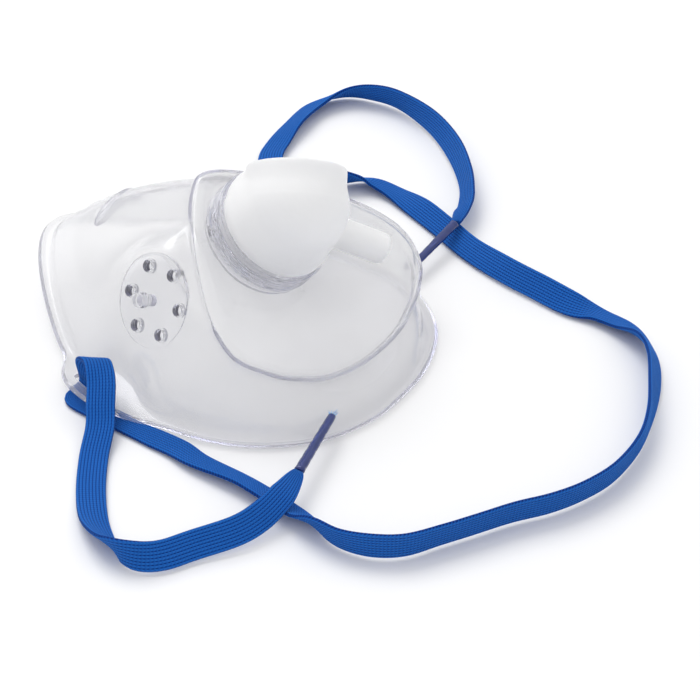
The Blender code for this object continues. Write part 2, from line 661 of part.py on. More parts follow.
def make_elbow(group, cutters, material):
    seat = COLLAR_HEIGHT + GAP
    neck = COLLAR_BORE - GAP
    bead_low, bead_high = GROOVE_LOW + GAP, GROOVE_HIGH - GAP
    outer = ball_profile(BALL_RADIUS, SHOULDER_RADIUS - SHOULDER_EDGE, seat + SHOULDER_HEIGHT)
    outer += [(SHOULDER_RADIUS, seat + SHOULDER_HEIGHT - SHOULDER_EDGE), (SHOULDER_RADIUS, seat), (neck, seat),
              (neck, bead_high + BEAD_RAMP), (neck + BEAD, bead_high), (neck + BEAD, bead_low),
              (neck, bead_low - BEAD_RAMP), (neck, NECK_EDGE - COLLAR_ROOT),
              (neck - NECK_EDGE, -COLLAR_ROOT), (0.0, -COLLAR_ROOT)]
    elbow = turned("swivel_elbow", outer, group)
    elbow.matrix_world = collar_matrix()

    ball = COLLAR_ORIGIN + COLLAR_AXIS * BALL_HEIGHT
    out = elbow_direction(ELBOW_TURN, OUTLET_LEAN)
    outlet = cylinder("outlet", OUTLET_BORE + OUTLET_WALL, ball, out, OUTLET_LENGTH, cutters, steps=ROUND_STEPS)
    boolean(elbow, as_cutter(outlet), "UNION")
    side = elbow_direction(ELBOW_TURN + NOZZLE_TURN)
    root = COLLAR_ORIGIN + COLLAR_AXIS * NOZZLE_HEIGHT
    nozzle = cylinder("nozzle", NOZZLE_RADIUS, root, side, NOZZLE_REACH, cutters,
                      tip_radius=NOZZLE_TIP_RADIUS, steps=32)
    boolean(elbow, as_cutter(nozzle), "UNION")

    hollow = ball_profile(BALL_RADIUS - ELBOW_WALL, neck - ELBOW_WALL, seat)
    hollow += [(neck - ELBOW_WALL, -COLLAR_ROOT - ELBOW_WALL), (0.0, -COLLAR_ROOT - ELBOW_WALL)]
    inside = turned("elbow inside", hollow, cutters)
    inside.matrix_world = collar_matrix()
    boolean(elbow, as_cutter(inside), "DIFFERENCE")
    bore = cylinder("outlet bore", OUTLET_BORE, ball, out, BALL_RADIUS + ELBOW_WALL, cutters, steps=ROUND_STEPS)
    boolean(elbow, as_cutter(bore), "DIFFERENCE")
    drill = cylinder("nozzle bore", NOZZLE_BORE, root + side * 0.5 * BALL_RADIUS, side, NOZZLE_REACH, cutters,
                     steps=16)
    boolean(elbow, as_cutter(drill), "DIFFERENCE")
    elbow.data.materials.append(material)
    return elbow


# Strap

def strap_stations():
    """Middle, width direction and width share at each station, on a smooth curve through the route."""
    knots = [(Vector(middle) * MM, Vector(across).normalized(), share) for middle, across, share in STRAP_ROUTE]
    stations = []
    last = len(knots) - 1
    for i in range(last):
        before, here, after, beyond = (knots[max(0, min(last, i + k))] for k in (-1, 0, 1, 2))
        length = (after[0] - here[0]).length
        steps = max(1, round(length / STATION_STEP))
        for k in range(steps):
            t = k / steps
            place = smooth_between(before[0], here[0], after[0], beyond[0], t)
            across = smooth_between(before[1], here[1], after[1], beyond[1], t)
            stations.append((place, across.normalized(), here[2] + (after[2] - here[2]) * t))
    stations.append(knots[-1])
    return stations


def smooth_between(p0, p1, p2, p3, t):
    """Catmull-Rom from p1 to p2."""
    return 0.5 * (2.0 * p1 + (p2 - p0) * t + (2.0 * p0 - 5.0 * p1 + 4.0 * p2 - p3) * t * t
                  + (3.0 * p1 - p0 - 3.0 * p2 + p3) * t ** 3)


def strap_section(place, along, across, share):
    """Rounded flat section of the braid at one station."""
    across = (across - along * across.dot(along)).normalized()
    face = along.cross(across)
    half, thick = 0.5 * STRAP_WIDTH * share, 0.5 * STRAP_THICKNESS
    corners = [(1.0, STRAP_EDGE), (STRAP_FLAT, 1.0), (-STRAP_FLAT, 1.0), (-1.0, STRAP_EDGE),
               (-1.0, -STRAP_EDGE), (-STRAP_FLAT, -1.0), (STRAP_FLAT, -1.0), (1.0, -STRAP_EDGE)]
    return [place + across * (half * u) + face * (thick * v) for u, v in corners]


def make_strap(group, material):
    stations = strap_stations()
    places = [s[0] for s in stations]
    rings = []
    for i, (place, across, share) in enumerate(stations):
        along = (places[min(i + 1, len(places) - 1)] - places[max(i - 1, 0)]).normalized()
        rings.append(strap_section(place, along, across, share))
    strap = loft_rings("head_strap", rings, group, closed_ends=True)
    strap.data.materials.append(material)
    return places


def make_tip(name, end, aim, group, material):
    """The sleeve crimped on the end of a tail."""
    direction = (aim - end).normalized()
    tip = cylinder(name, TIP_RADIUS, end + direction * GAP, direction, TIP_LENGTH, group,
                   tip_radius=0.8 * TIP_RADIUS, steps=16)
    tip.data.materials.append(material)


def main():
    clear_scene()
    parts = make_collection("oxygen_face_mask")
    cutters = make_collection("cutters")
    vinyl = make_material("clear vinyl", (0.86, 0.87, 0.92), 0.12, 0.4)
    frosted = make_material("frosted polythene", (0.92, 0.93, 0.95), 0.4)
    make_shell(parts, cutters, vinyl)
    make_elbow(parts, cutters, frosted)
    braid = make_material("blue braid", (0.03, 0.13, 0.5), 0.8)
    film = make_material("violet film", (0.07, 0.06, 0.33), 0.2)
    places = make_strap(parts, braid)
    make_tip("strap_tip_near", places[0], NEAR_TIP_AIM, parts, film)
    make_tip("strap_tip_far", places[-1], FAR_TIP_AIM, parts, film)


main()
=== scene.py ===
# %% [markdown]
# # A child's oxygen face mask
# The object is one soft vinyl moulding, a frosted elbow that turns in its collar, and a flat blue elastic
# with two crimped tips. The mechanical solids were made first and packed with their joints. This lesson
# dresses them: it loads the solids as a fixed frame, draws the shell and the elastic anew, softens the
# elbow, wraps the tips, and gives every surface a procedural material. All lengths are in metres and +Z is
# up.

# %% Load the frame
from math import atan2, cos, degrees, pi, radians, sin, sqrt

import bmesh
import bpy
from mathutils import Matrix, Vector


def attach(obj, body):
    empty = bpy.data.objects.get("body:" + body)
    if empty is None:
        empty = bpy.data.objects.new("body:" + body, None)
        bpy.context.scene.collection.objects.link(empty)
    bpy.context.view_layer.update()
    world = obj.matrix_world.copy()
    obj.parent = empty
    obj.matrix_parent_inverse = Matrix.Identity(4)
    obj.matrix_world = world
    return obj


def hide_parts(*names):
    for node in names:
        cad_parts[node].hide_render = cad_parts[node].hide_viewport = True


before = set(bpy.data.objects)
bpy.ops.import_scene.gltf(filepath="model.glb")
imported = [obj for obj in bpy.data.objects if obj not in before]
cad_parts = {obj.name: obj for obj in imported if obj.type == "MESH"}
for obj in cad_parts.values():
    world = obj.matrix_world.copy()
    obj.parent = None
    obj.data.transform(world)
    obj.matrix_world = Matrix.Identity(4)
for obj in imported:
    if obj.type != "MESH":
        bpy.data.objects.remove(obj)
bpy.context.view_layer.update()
bpy.ops.object.select_all(action="DESELECT")
print("frame nodes:", sorted(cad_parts))

# %% [markdown]
# ## Object helpers
# Every piece ends up as an object in the scene, so four short helpers keep the later cells short.

# %% Object helpers
def add_object(name, data):
    """A new object for some data, linked into the scene."""
    thing = bpy.data.objects.new(name, data)
    bpy.context.scene.collection.objects.link(thing)
    return thing


def mesh_object(name, bm):
    """Writes a bmesh into a new object."""
    mesh = bpy.data.meshes.new(name)
    bm.to_mesh(mesh)
    bm.free()
    return add_object(name, mesh)


def tube_object(name, bm, rings):
    """Closes both ends of a skinned tube and writes it into a new object, with smooth sides."""
    bm.faces.new(rings[0])
    bm.faces.new(list(reversed(rings[-1])))
    bmesh.ops.recalc_face_normals(bm, faces=bm.faces)
    for face in bm.faces:
        face.smooth = len(face.verts) == 4
    return mesh_object(name, bm)


def select_only(piece):
    """Makes a piece the selected and active object."""
    bpy.ops.object.select_all(action="DESELECT")
    piece.select_set(True)
    bpy.context.view_layer.objects.active = piece


print("helpers ready")

# %% [markdown]
# ## Camera
# The picture was taken with a long lens from the near side, a little towards the chin, looking down on the
# mask. A long lens keeps the two cheeks nearly the same size, so the focal length matters as much as the
# place. The camera stands at an azimuth, an elevation and a distance from a target on the table. They come
# from a least-squares fit to places that were picked on the photo.

# %% Camera
VIEW_TARGET = Vector((0.031401, 0.009337, 0.0))
VIEW_DISTANCE = 0.7
VIEW_AZIMUTH = radians(34.0)
VIEW_ELEVATION = radians(34.0)
VIEW_FLAT = Vector((sin(VIEW_AZIMUTH), -cos(VIEW_AZIMUTH), 0.0))
VIEW_FROM = VIEW_FLAT * cos(VIEW_ELEVATION) + Vector((0.0, 0.0, sin(VIEW_ELEVATION)))
camera_data = bpy.data.cameras.new("photo_camera")
camera_data.lens = 144.0
camera_data.sensor_width = 36.0
camera_data.clip_start = 0.01
camera = add_object("photo_camera", camera_data)
camera.location = VIEW_TARGET + VIEW_FROM * VIEW_DISTANCE
camera.rotation_euler = VIEW_FROM.to_track_quat("Z", "Y").to_euler()
bpy.context.scene.camera = camera
print("camera", [round(c, 4) for c in camera.location])

# %% [markdown]
# ## Table and light
# Clear plastic shows only what it bends and reflects, so the studio matters here more than on a painted
# object. A white table under a bright even sky gives the pale tone, and one large soft box from the upper
# left gives the soft shadows beside the elastic. The colour transform is the plain one, so that white stays
# white.

# %% Table and light
SKY_STRENGTH = 0.93
SKY_TONES = [(0.0, (0.66, 0.66, 0.68)), (0.3, (0.82, 0.82, 0.83)), (0.75, (1.0, 1.0, 1.0))]
KEY_POWER = 9.0

bpy.ops.mesh.primitive_plane_add(size=6.0, location=(0.0, 0.0, 0.0))
table = bpy.context.object
table.name = "studio_table"
bpy.ops.object.select_all(action="DESELECT")

world = bpy.data.worlds.new("studio_sky")
world.use_nodes = True
sky = world.node_tree
where = sky.nodes.new("ShaderNodeTexCoord")
split = sky.nodes.new("ShaderNodeSeparateXYZ")
fade = sky.nodes.new("ShaderNodeValToRGB")
for stop, (height, grey) in zip((fade.color_ramp.elements[0], fade.color_ramp.elements.new(0.3),
                                 fade.color_ramp.elements[-1]), SKY_TONES):
    stop.position = height
    stop.color = (*grey, 1.0)
sky.links.new(where.outputs["Generated"], split.inputs["Vector"])
sky.links.new(split.outputs["Z"], fade.inputs["Fac"])
sky.links.new(fade.outputs["Color"], sky.nodes["Background"].inputs["Color"])
sky.nodes["Background"].inputs["Strength"].default_value = SKY_STRENGTH
bpy.context.scene.world = world
bpy.context.scene.view_settings.view_transform = "Standard"


def soft_box(name, place, aim, size, power):
    """A square area light that looks at a point."""
    data = bpy.data.lights.new(name, "AREA")
    data.size = size
    data.energy = power
    lamp = add_object(name, data)
    lamp.location = place
    lamp.rotation_euler = (Vector(place) - Vector(aim)).to_track_quat("Z", "Y").to_euler()
    return lamp


soft_box("key_light", (-0.75, 0.4, 1.25), VIEW_TARGET, 0.9, KEY_POWER)
print("sky", SKY_STRENGTH, "key", KEY_POWER)

# %% [markdown]
# ## Node helpers
# Materials are built from nodes in code. Small helpers keep the cells short: they start a material, add a
# node, do a sum, make noise, and give a shader its colour or relief. Numbers that are the same all over a
# surface are typed on the shader.

# %% Node helpers
def start_material(name, **settings):
    """A material with its Principled shader set from keywords, and its node tree."""
    material = bpy.data.materials.new(name)
    material.use_nodes = True
    shader = material.node_tree.nodes["Principled BSDF"]
    for socket, value in settings.items():
        shader.inputs[socket.replace("_", " ").title().replace("Ior", "IOR")].default_value = value
    return material, material.node_tree, shader


def add_node(tree, kind, **settings):
    """A node of a kind, with its own options from keywords."""
    node = tree.nodes.new(kind)
    for name, value in settings.items():
        setattr(node, name, value)
    return node


def maths(tree, operation, *values):
    """A Math node whose inputs are numbers or sockets, and its result."""
    node = add_node(tree, "ShaderNodeMath", operation=operation)
    for socket, value in zip(node.inputs, values):
        if isinstance(value, float):
            socket.default_value = value
        else:
            tree.links.new(value, socket)
    return node.outputs["Value"]


def noise(tree, vector, scale, detail=2.0):
    """A noise texture on some coordinates, and its value."""
    node = add_node(tree, "ShaderNodeTexNoise")
    node.inputs["Scale"].default_value = scale
    node.inputs["Detail"].default_value = detail
    tree.links.new(vector, node.inputs["Vector"])
    return node.outputs["Fac"]


def tint_by(tree, shader, value, stops):
    """Colours a shader by a value, through a ramp of (position, colour) stops."""
    node = add_node(tree, "ShaderNodeValToRGB")
    while len(node.color_ramp.elements) < len(stops):
        node.color_ramp.elements.new(0.5)
    for element, (position, colour) in zip(node.color_ramp.elements, stops):
        element.position = position
        element.color = (*colour, 1.0)
    tree.links.new(value, node.inputs["Fac"])
    tree.links.new(node.outputs["Color"], shader.inputs["Base Color"])


def emboss(tree, shader, height, strength, depth):
    """Gives a shader's surface a relief."""
    bump = add_node(tree, "ShaderNodeBump")
    bump.inputs["Strength"].default_value = strength
    bump.inputs["Distance"].default_value = depth
    tree.links.new(height, bump.inputs["Height"])
    tree.links.new(bump.outputs["Normal"], shader.inputs["Normal"])


table_material, tree, shader = start_material("white_laminate", roughness=0.55)
where = add_node(tree, "ShaderNodeTexCoord")
grain = noise(tree, where.outputs["Object"], 3.0)
tint_by(tree, shader, grain, [(0.3, (0.90, 0.90, 0.905)), (0.7, (0.92, 0.92, 0.925))])
table.data.materials.append(table_material)
print("table material", table_material.name)

# %% [markdown]
# ## The soft shell
# The real shell is one dip of soft vinyl, a little over a millimetre thick everywhere: a rolled lip, a
# cheek that swells up from it, a raised muzzle with an undercut edge, and a dished top that carries the
# collar. The mechanical solid has the same form with few faces. Clear plastic bends what lies behind it, so
# every facet would show as a streak. The skin is therefore drawn again as rings of points, from the lip up
# to the collar, and rounded with subdivision. Rings suit it better than a primitive, because each one
# follows its own outline.

# %% Shell measures
MM = 0.001
WALL = 1.1 * MM
RIM_COLUMNS = 72
WALL_ROWS = 5
WIDEST_X = 9.35 * MM
CHIN_REACH = 45.5 * MM
NOSE_REACH = 64.3 * MM
RIM_HALF_WIDTH = 44.2 * MM
LIP_WIDTH = 2.8 * MM
LIP_CURL = 1.1 * MM
print("rim", round((NOSE_REACH + CHIN_REACH) / MM, 1), "by", round(2 * RIM_HALF_WIDTH / MM, 1), "mm")


def smoothstep(value):
    value = min(max(value, 0.0), 1.0)
    return value * value * (3.0 - 2.0 * value)


def signed_power(value, power):
    return abs(value) ** power * (1.0 if value >= 0.0 else -1.0)

# %% [markdown]
# Seen from above, the rim is a rounded box at the chin and a narrowing egg at the nose. Angles run round it
# from the chin. At each side an ear juts out for the strap: it leaves the rim at once on the nose side and
# fades out slowly towards the chin. The rim also lifts off the table over the bridge of the nose and under
# each ear.

# %% Rim and ears
EAR_ANGLE = 108.5
EAR_PROUD = 6.0 * MM
EAR_DEPTH = 4.6 * MM
EAR_RISE = 1.9 * MM
NOSE_RISE = 11.5 * MM
EAR_NOSE_SIDE = (112.0, 119.5)
EAR_CHIN_SIDE = (101.0, 86.0)
PROBE = radians(0.5)
# Lying on a table the soft rim spreads on the near side, by degrees round it, in mm. The stops were set with
# places of the rim that were picked on the photo and projected to the table.
RIM_LEAN = [(-180, 0.0), (-90, 0.2), (-60, 1.2), (-38, 1.3), (-15, 0.2), (0, -1.0), (20, -1.8), (48, -1.4),
            (80, 0.0), (180, 0.0)]


def rim_plan(theta):
    """Outer edge of the lip in plan, without the ears."""
    c, s = cos(theta), sin(theta)
    if c >= 0.0:
        return Vector((WIDEST_X + CHIN_REACH * c ** 0.909, signed_power(s, 0.909) * RIM_HALF_WIDTH, 0.0))
    return Vector((WIDEST_X + NOSE_REACH * c, RIM_HALF_WIDTH * s * (1.0 - 0.39 * c * c), 0.0))


def rim_outward(theta):
    along = rim_plan(theta + PROBE) - rim_plan(theta - PROBE)
    return Vector((along.y, -along.x, 0.0)).normalized()


def eased(stops, theta):
    """A value in metres at an angle, eased between stops of (degrees, millimetres)."""
    angle = (degrees(theta) + 180.0) % 360.0 - 180.0
    for (low, start), (high, end) in zip(stops, stops[1:]):
        if low <= angle <= high:
            return (start + (end - start) * smoothstep((angle - low) / (high - low))) * MM
    return 0.0


def side_angle(theta):
    """Degrees from the chin, the same on both sides."""
    return abs((degrees(theta) + 180.0) % 360.0 - 180.0)


def ear_amount(theta):
    """1 across the ear, 0 away from it."""
    angle = side_angle(theta)
    nose_side = smoothstep((EAR_NOSE_SIDE[1] - angle) / (EAR_NOSE_SIDE[1] - EAR_NOSE_SIDE[0]))
    chin_side = smoothstep((angle - EAR_CHIN_SIDE[1]) / (EAR_CHIN_SIDE[0] - EAR_CHIN_SIDE[1]))
    return nose_side * chin_side


def rim_height(theta):
    nose = max(0.0, -cos(theta) - 0.55) / 0.45
    ear = smoothstep((16.0 - abs(side_angle(theta) - EAR_ANGLE + 2.5)) / 10.0)
    return WALL + NOSE_RISE * nose + EAR_RISE * ear


def lip_point(theta, inset, rise):
    """A point of the flange, inset from its outer edge."""
    spread = EAR_PROUD * ear_amount(theta) + eased(RIM_LEAN, theta)
    place = rim_plan(theta) + rim_outward(theta) * (spread - inset)
    place.z = rim_height(theta) + rise
    return place


print("ear point", [round(c / MM, 1) for c in lip_point(radians(-EAR_ANGLE), 0.0, 0.0)])

# %% [markdown]
# The muzzle is an egg in a plane that slopes down to the chin. Its edge is a soft roll that overhangs the
# cheek a little, which is what draws the clear double line round it. The collar stands on its own, steeper
# axis.

# %% Muzzle and collar
MUZZLE_NORMAL = Vector((sin(radians(32.0)), 0.0, cos(radians(32.0))))
MUZZLE_DOWN = Vector((cos(radians(32.0)), 0.0, -sin(radians(32.0))))
MUZZLE_ORIGIN = Vector((27.5, 0.0, 22.4)) * MM
SIDEWAYS = Vector((0.0, 1.0, 0.0))
COLLAR_AXIS = Vector((sin(radians(40.0)), 0.0, cos(radians(40.0))))
COLLAR_DOWN = Vector((cos(radians(40.0)), 0.0, -sin(radians(40.0))))
COLLAR_ORIGIN = MUZZLE_ORIGIN - MUZZLE_DOWN * 18.2 * MM - MUZZLE_NORMAL * 1.2 * MM
COLLAR_BORE = 12.7 * MM
COLLAR_WALL = 2.4 * MM
# Over the muzzle's edge from the valley inward, in mm: how far it grows outward, and its height
MUZZLE_ROLL = [(-0.2, -3.7), (0.55, -2.8), (0.8, -1.5), (0.1, -0.25), (-1.6, 0.08), (-4.9, -0.36)]
# Lying on a table the soft muzzle leans: how far its edge is drawn in, in mm, by degrees round it. The stops
# follow a fit of the outline to places that were picked on the photo.
MUZZLE_DRAW = [(-180, 0.3), (-166, 1.0), (-140, 1.1), (-110, 1.5), (-86, 2.9), (-66, 3.6), (-48, 2.9),
               (-24, 1.7), (0, 1.5), (30, 0.7), (48, -0.3), (60, -1.2), (72, -1.0), (92, -0.3), (140, 0.0),
               (180, 0.3)]


def muzzle_outline(theta):
    c, s = cos(theta), sin(theta)
    if c >= 0.0:
        return 23.2 * MM * c, 36.3 * MM * s
    return 40.0 * MM * c, 36.3 * MM * s * (1.0 - 0.5 * (-c) ** 1.3)


def muzzle_point(theta, grow, height):
    """A point round the muzzle, grown outward in its plane and raised along its normal."""
    grow -= eased(MUZZLE_DRAW, theta)
    u0, v0 = muzzle_outline(theta - PROBE)
    u1, v1 = muzzle_outline(theta + PROBE)
    size = sqrt((u1 - u0) ** 2 + (v1 - v0) ** 2)
    u, v = muzzle_outline(theta)
    u += grow * (v1 - v0) / size
    v -= grow * (u1 - u0) / size
    return MUZZLE_ORIGIN + MUZZLE_DOWN * u + SIDEWAYS * v + MUZZLE_NORMAL * height


print("collar middle", [round(c / MM, 1) for c in COLLAR_ORIGIN])

# %% [markdown]
# Between the flange and the muzzle the cheek is a cubic curve in every column, bulged outward. Round each
# vent the cheek is pressed flat, because a disc is moulded there.

# %% Cheek
VENT_CENTRE = Vector((0.3, -29.2, 24.2)) * MM
VENT_NORMAL = Vector((-0.23, -0.88, 0.41)).normalized()
PRESS_DEPTH = 11.6 * MM
FLAT_REACH = 13.5 * MM
FLAT_FADE = 6.5 * MM


def mirrored(vector, side):
    return Vector((vector.x, vector.y * side, vector.z))


def press_flat(place):
    """Flattens the cheek round each vent disc."""
    for side in (1.0, -1.0):
        normal = mirrored(VENT_NORMAL, side)
        offset = place - mirrored(VENT_CENTRE, side)
        depth = offset.dot(normal)
        reach = (offset - normal * depth).length
        if abs(depth) < PRESS_DEPTH:
            place = place - normal * depth * (1.0 - smoothstep((reach - FLAT_REACH) / FLAT_FADE))
    return place


def cheek_point(foot, top, share, swell):
    span = top - foot
    outward = span.cross(Vector((-span.y, span.x, 0.0))).normalized()
    if outward.z < 0.0:
        outward.negate()
    bulge = span.length * swell
    first = foot + span * 0.28 + outward * bulge * 1.5
    second = foot + span * 0.68 + outward * bulge
    a, b = 1.0 - share, share
    return foot * a ** 3 + first * (3 * a * a * b) + second * (3 * a * b * b) + top * b ** 3


def shell_rings():
    """Rings of points from the lip to the collar."""
    angles = [2.0 * pi * i / RIM_COLUMNS for i in range(RIM_COLUMNS)]
    widths = [LIP_WIDTH + EAR_PROUD * ear_amount(t) + EAR_DEPTH * ear_amount(t) ** 3 for t in angles]
    roll = 0.35 * LIP_WIDTH
    rings = [
        [lip_point(t, 0.0, LIP_CURL) for t in angles],
        [lip_point(t, roll, 0.0) for t in angles],
        [lip_point(t, w - roll, 0.1 * LIP_CURL) for t, w in zip(angles, widths)],
    ]
    feet = [lip_point(t, w, 1.6 * LIP_CURL) for t, w in zip(angles, widths)]
    edge = [[muzzle_point(t, grow * MM, height * MM) for t in angles] for grow, height in MUZZLE_ROLL]
    rings.append(feet)
    swells = [0.045 + 0.055 * min(1.0, 1.6 * abs(sin(t))) for t in angles]
    for k in range(1, WALL_ROWS + 1):
        share = k / (WALL_ROWS + 1)
        rings.append([press_flat(cheek_point(f, v, share, s)) for f, v, s in zip(feet, edge[0], swells)])
    rings.append([press_flat(v) for v in edge[0]])
    rings += edge[1:]
    collar = []
    for point in edge[-1]:
        offset = point - COLLAR_ORIGIN
        angle = atan2(offset.dot(SIDEWAYS), offset.dot(COLLAR_DOWN))
        across = COLLAR_DOWN * cos(angle) + SIDEWAYS * sin(angle)
        collar.append(COLLAR_ORIGIN + across * (COLLAR_BORE + 0.55 * COLLAR_WALL))
    dish = MUZZLE_NORMAL * 0.36 * MM
    rings.append([a.lerp(b, 0.55) - dish for a, b in zip(edge[-1], collar)])
    rings.append(collar)
    return rings

# %% [markdown]
# The rings are skinned with four-sided faces. A Subdivision Surface rounds them, and a Solidify of one wall
# gives the thickness on the inside, so that the outer skin keeps its size.

# %% Skin the shell
def finish_piece(piece):
    """Applies every modifier of a piece, top to bottom, and leaves nothing selected."""
    select_only(piece)
    for modifier in list(piece.modifiers):
        bpy.ops.object.modifier_apply(modifier=modifier.name)
    bpy.ops.object.transform_apply(location=True, rotation=True, scale=True)
    piece.select_set(False)
    return piece


def skin_rings(name, rings):
    bm = bmesh.new()
    loops = [[bm.verts.new(p) for p in ring] for ring in rings]
    count = len(rings[0])
    for lower, upper in zip(loops, loops[1:]):
        for i in range(count):
            j = (i + 1) % count
            bm.faces.new((lower[i], lower[j], upper[j], upper[i]))
    return mesh_object(name, bm)


shell = skin_rings("soft_shell", shell_rings())
rounding = shell.modifiers.new("Round", "SUBSURF")
rounding.levels = 2
rounding.render_levels = 2
thickness = shell.modifiers.new("Wall", "SOLIDIFY")
thickness.thickness = WALL
thickness.offset = -1.0
thickness.use_even_offset = True
finish_piece(shell)
lowest = min(v.co.z for v in shell.data.vertices)
for vertex in shell.data.vertices:
    vertex.co.z -= lowest
print("shell skin", len(shell.data.polygons), "faces, lowered by", round(lowest / MM, 3), "mm")

# %% [markdown]
# ## Collar, vents and nose bar
# The collar is turned: its profile is drawn once and a Screw carries it round. Each vent is a flat disc
# that stands a little proud on its nose side only, with a headed post in the middle. The nose bar is a rod
# bent over the crown. All of them are joined and melted into the shell with one Boolean, and one more
# Boolean cuts the holes and the strap slots.

# %% Collar
COLLAR_RIBS = 5
COLLAR_RIB_PROUD = 0.4 * MM
GROOVE_DEPTH = 0.75 * MM


def turn_profile(name, profile, steps):
    """Screws a profile of (radius, height) round +Z and stands it on the collar's axis."""
    mesh = bpy.data.meshes.new(name)
    mesh.from_pydata([(r, 0.0, z) for r, z in profile], [(i, i + 1) for i in range(len(profile) - 1)], [])
    piece = add_object(name, mesh)
    screw = piece.modifiers.new("Screw", "SCREW")
    screw.steps = steps
    screw.render_steps = steps
    screw.use_merge_vertices = True
    screw.merge_threshold = 0.00001
    finish_piece(piece)
    stand = Matrix((COLLAR_DOWN, SIDEWAYS, COLLAR_AXIS)).transposed().to_4x4()
    stand.translation = COLLAR_ORIGIN
    piece.data.transform(stand)
    bm = bmesh.new()
    bm.from_mesh(piece.data)
    bmesh.ops.recalc_face_normals(bm, faces=bm.faces)
    bm.to_mesh(piece.data)
    bm.free()
    return piece


top, foot = 6.5 * MM, -1.8 * MM
outside = COLLAR_BORE + COLLAR_WALL
profile = [(COLLAR_BORE, top), (outside - 0.5 * MM, top), (outside - 0.15 * MM, top - 0.15 * MM),
           (outside, top - 0.5 * MM)]
pitch = (top - 1.4 * MM) / COLLAR_RIBS
for i in range(COLLAR_RIBS):
    z = top - 0.5 * MM - pitch * (i + 0.5)
    for lift, share in ((0.0, 0.36), (0.7, 0.2), (1.0, 0.0), (0.7, -0.2), (0.0, -0.36)):
        profile.append((outside + lift * COLLAR_RIB_PROUD, z + share * pitch))
groove = COLLAR_BORE + GROOVE_DEPTH
profile += [(outside, foot), (COLLAR_BORE, foot), (COLLAR_BORE, 1.2 * MM), (groove, 2.0 * MM),
            (groove, 3.2 * MM), (COLLAR_BORE, 4.0 * MM), (COLLAR_BORE, top)]
collar = turn_profile("collar", profile, 128)
print("collar", len(profile), "profile points")

# %% Vent discs and posts
VENT_RADIUS = 11.6 * MM
HOLE_CIRCLE = 8.6 * MM
HOLE_COUNT = 6
HOLE_RADIUS = 1.45 * MM
BOSS_RADIUS = 1.8 * MM
POST_RADIUS = 1.45 * MM
POST_HEAD_RADIUS = 2.0 * MM


def rod(start, direction, radius, length, vertices, tip_radius=None):
    """A round bar from a point along a direction, added as a primitive."""
    turn = direction.to_track_quat("Z", "Y").to_euler()
    middle = start + direction * 0.5 * length
    bpy.ops.mesh.primitive_cone_add(vertices=vertices, radius1=radius, depth=length, location=middle,
                                    radius2=radius if tip_radius is None else tip_radius, rotation=turn)
    return bpy.context.object


def vent_axes(side):
    """Middle of a disc, its directions towards the chin and upward, and its normal."""
    normal = mirrored(VENT_NORMAL, side)
    forward = (Vector((1.0, 0.0, 0.0)) - normal * normal.x).normalized()
    upward = normal.cross(forward)
    if upward.z < 0.0:
        upward.negate()
    return mirrored(VENT_CENTRE, side), forward, upward, normal


additions = [collar]
cuts = []
hole_axes = []
for side in (1.0, -1.0):
    centre, forward, upward, normal = vent_axes(side)
    leaned = (normal + forward * 0.02).normalized()
    additions.append(rod(centre - leaned * 0.75 * MM, leaned, VENT_RADIUS, 1.0 * MM, 96))
    additions.append(rod(centre - normal * 0.5 * MM, normal, POST_RADIUS, 4.0 * MM, 32))
    additions.append(rod(centre + normal * 3.2 * MM, normal, POST_HEAD_RADIUS, 2.0 * MM, 32, 1.8 * MM))
    for i in range(HOLE_COUNT):
        angle = 2.0 * pi * (i + 0.03) / HOLE_COUNT
        place = centre + (forward * cos(angle) + upward * sin(angle)) * HOLE_CIRCLE
        additions.append(rod(place - normal * 1.8 * MM, normal, BOSS_RADIUS, 1.9 * MM, 32))
        cuts.append(rod(place - normal * 3.5 * MM, normal, HOLE_RADIUS, 6.0 * MM, 32))
        hole_axes.append((place, normal))
print("vents:", len(cuts), "holes")

# %% Nose bar
BAR_X = -33.6 * MM
BAR_RADIUS = 1.9 * MM
BAR_HALF_LENGTH = 9.6 * MM
crown = []
for i in range(13):
    y = BAR_HALF_LENGTH * (i / 6.0 - 1.0)
    place, slope = shell.ray_cast(Vector((BAR_X, y, 0.2)), Vector((0.0, 0.0, -1.0)))[1:3]
    crown.append(place + slope * (0.45 * MM - BAR_RADIUS))
curve = bpy.data.curves.new("nose_bar", "CURVE")
curve.dimensions = "3D"
curve.bevel_depth = BAR_RADIUS
curve.bevel_resolution = 6
curve.use_fill_caps = True
line = curve.splines.new("POLY")
line.points.add(len(crown) - 1)
for i, (point, place) in enumerate(zip(line.points, crown)):
    point.co = (*place, 1.0)
    point.radius = sqrt(max(1.0 - abs(i / 6.0 - 1.0) ** 6, 0.05))
bar = add_object("nose_bar", curve)
select_only(bar)
bpy.ops.object.convert(target="MESH")
bpy.ops.object.mode_set(mode="EDIT")
bpy.ops.mesh.select_all(action="SELECT")
bpy.ops.mesh.remove_doubles(threshold=0.00001)
bpy.ops.mesh.normals_make_consistent(inside=False)
bpy.ops.object.mode_set(mode="OBJECT")
additions.append(bar)
print("nose bar crown at z", round(crown[6].z, 4))

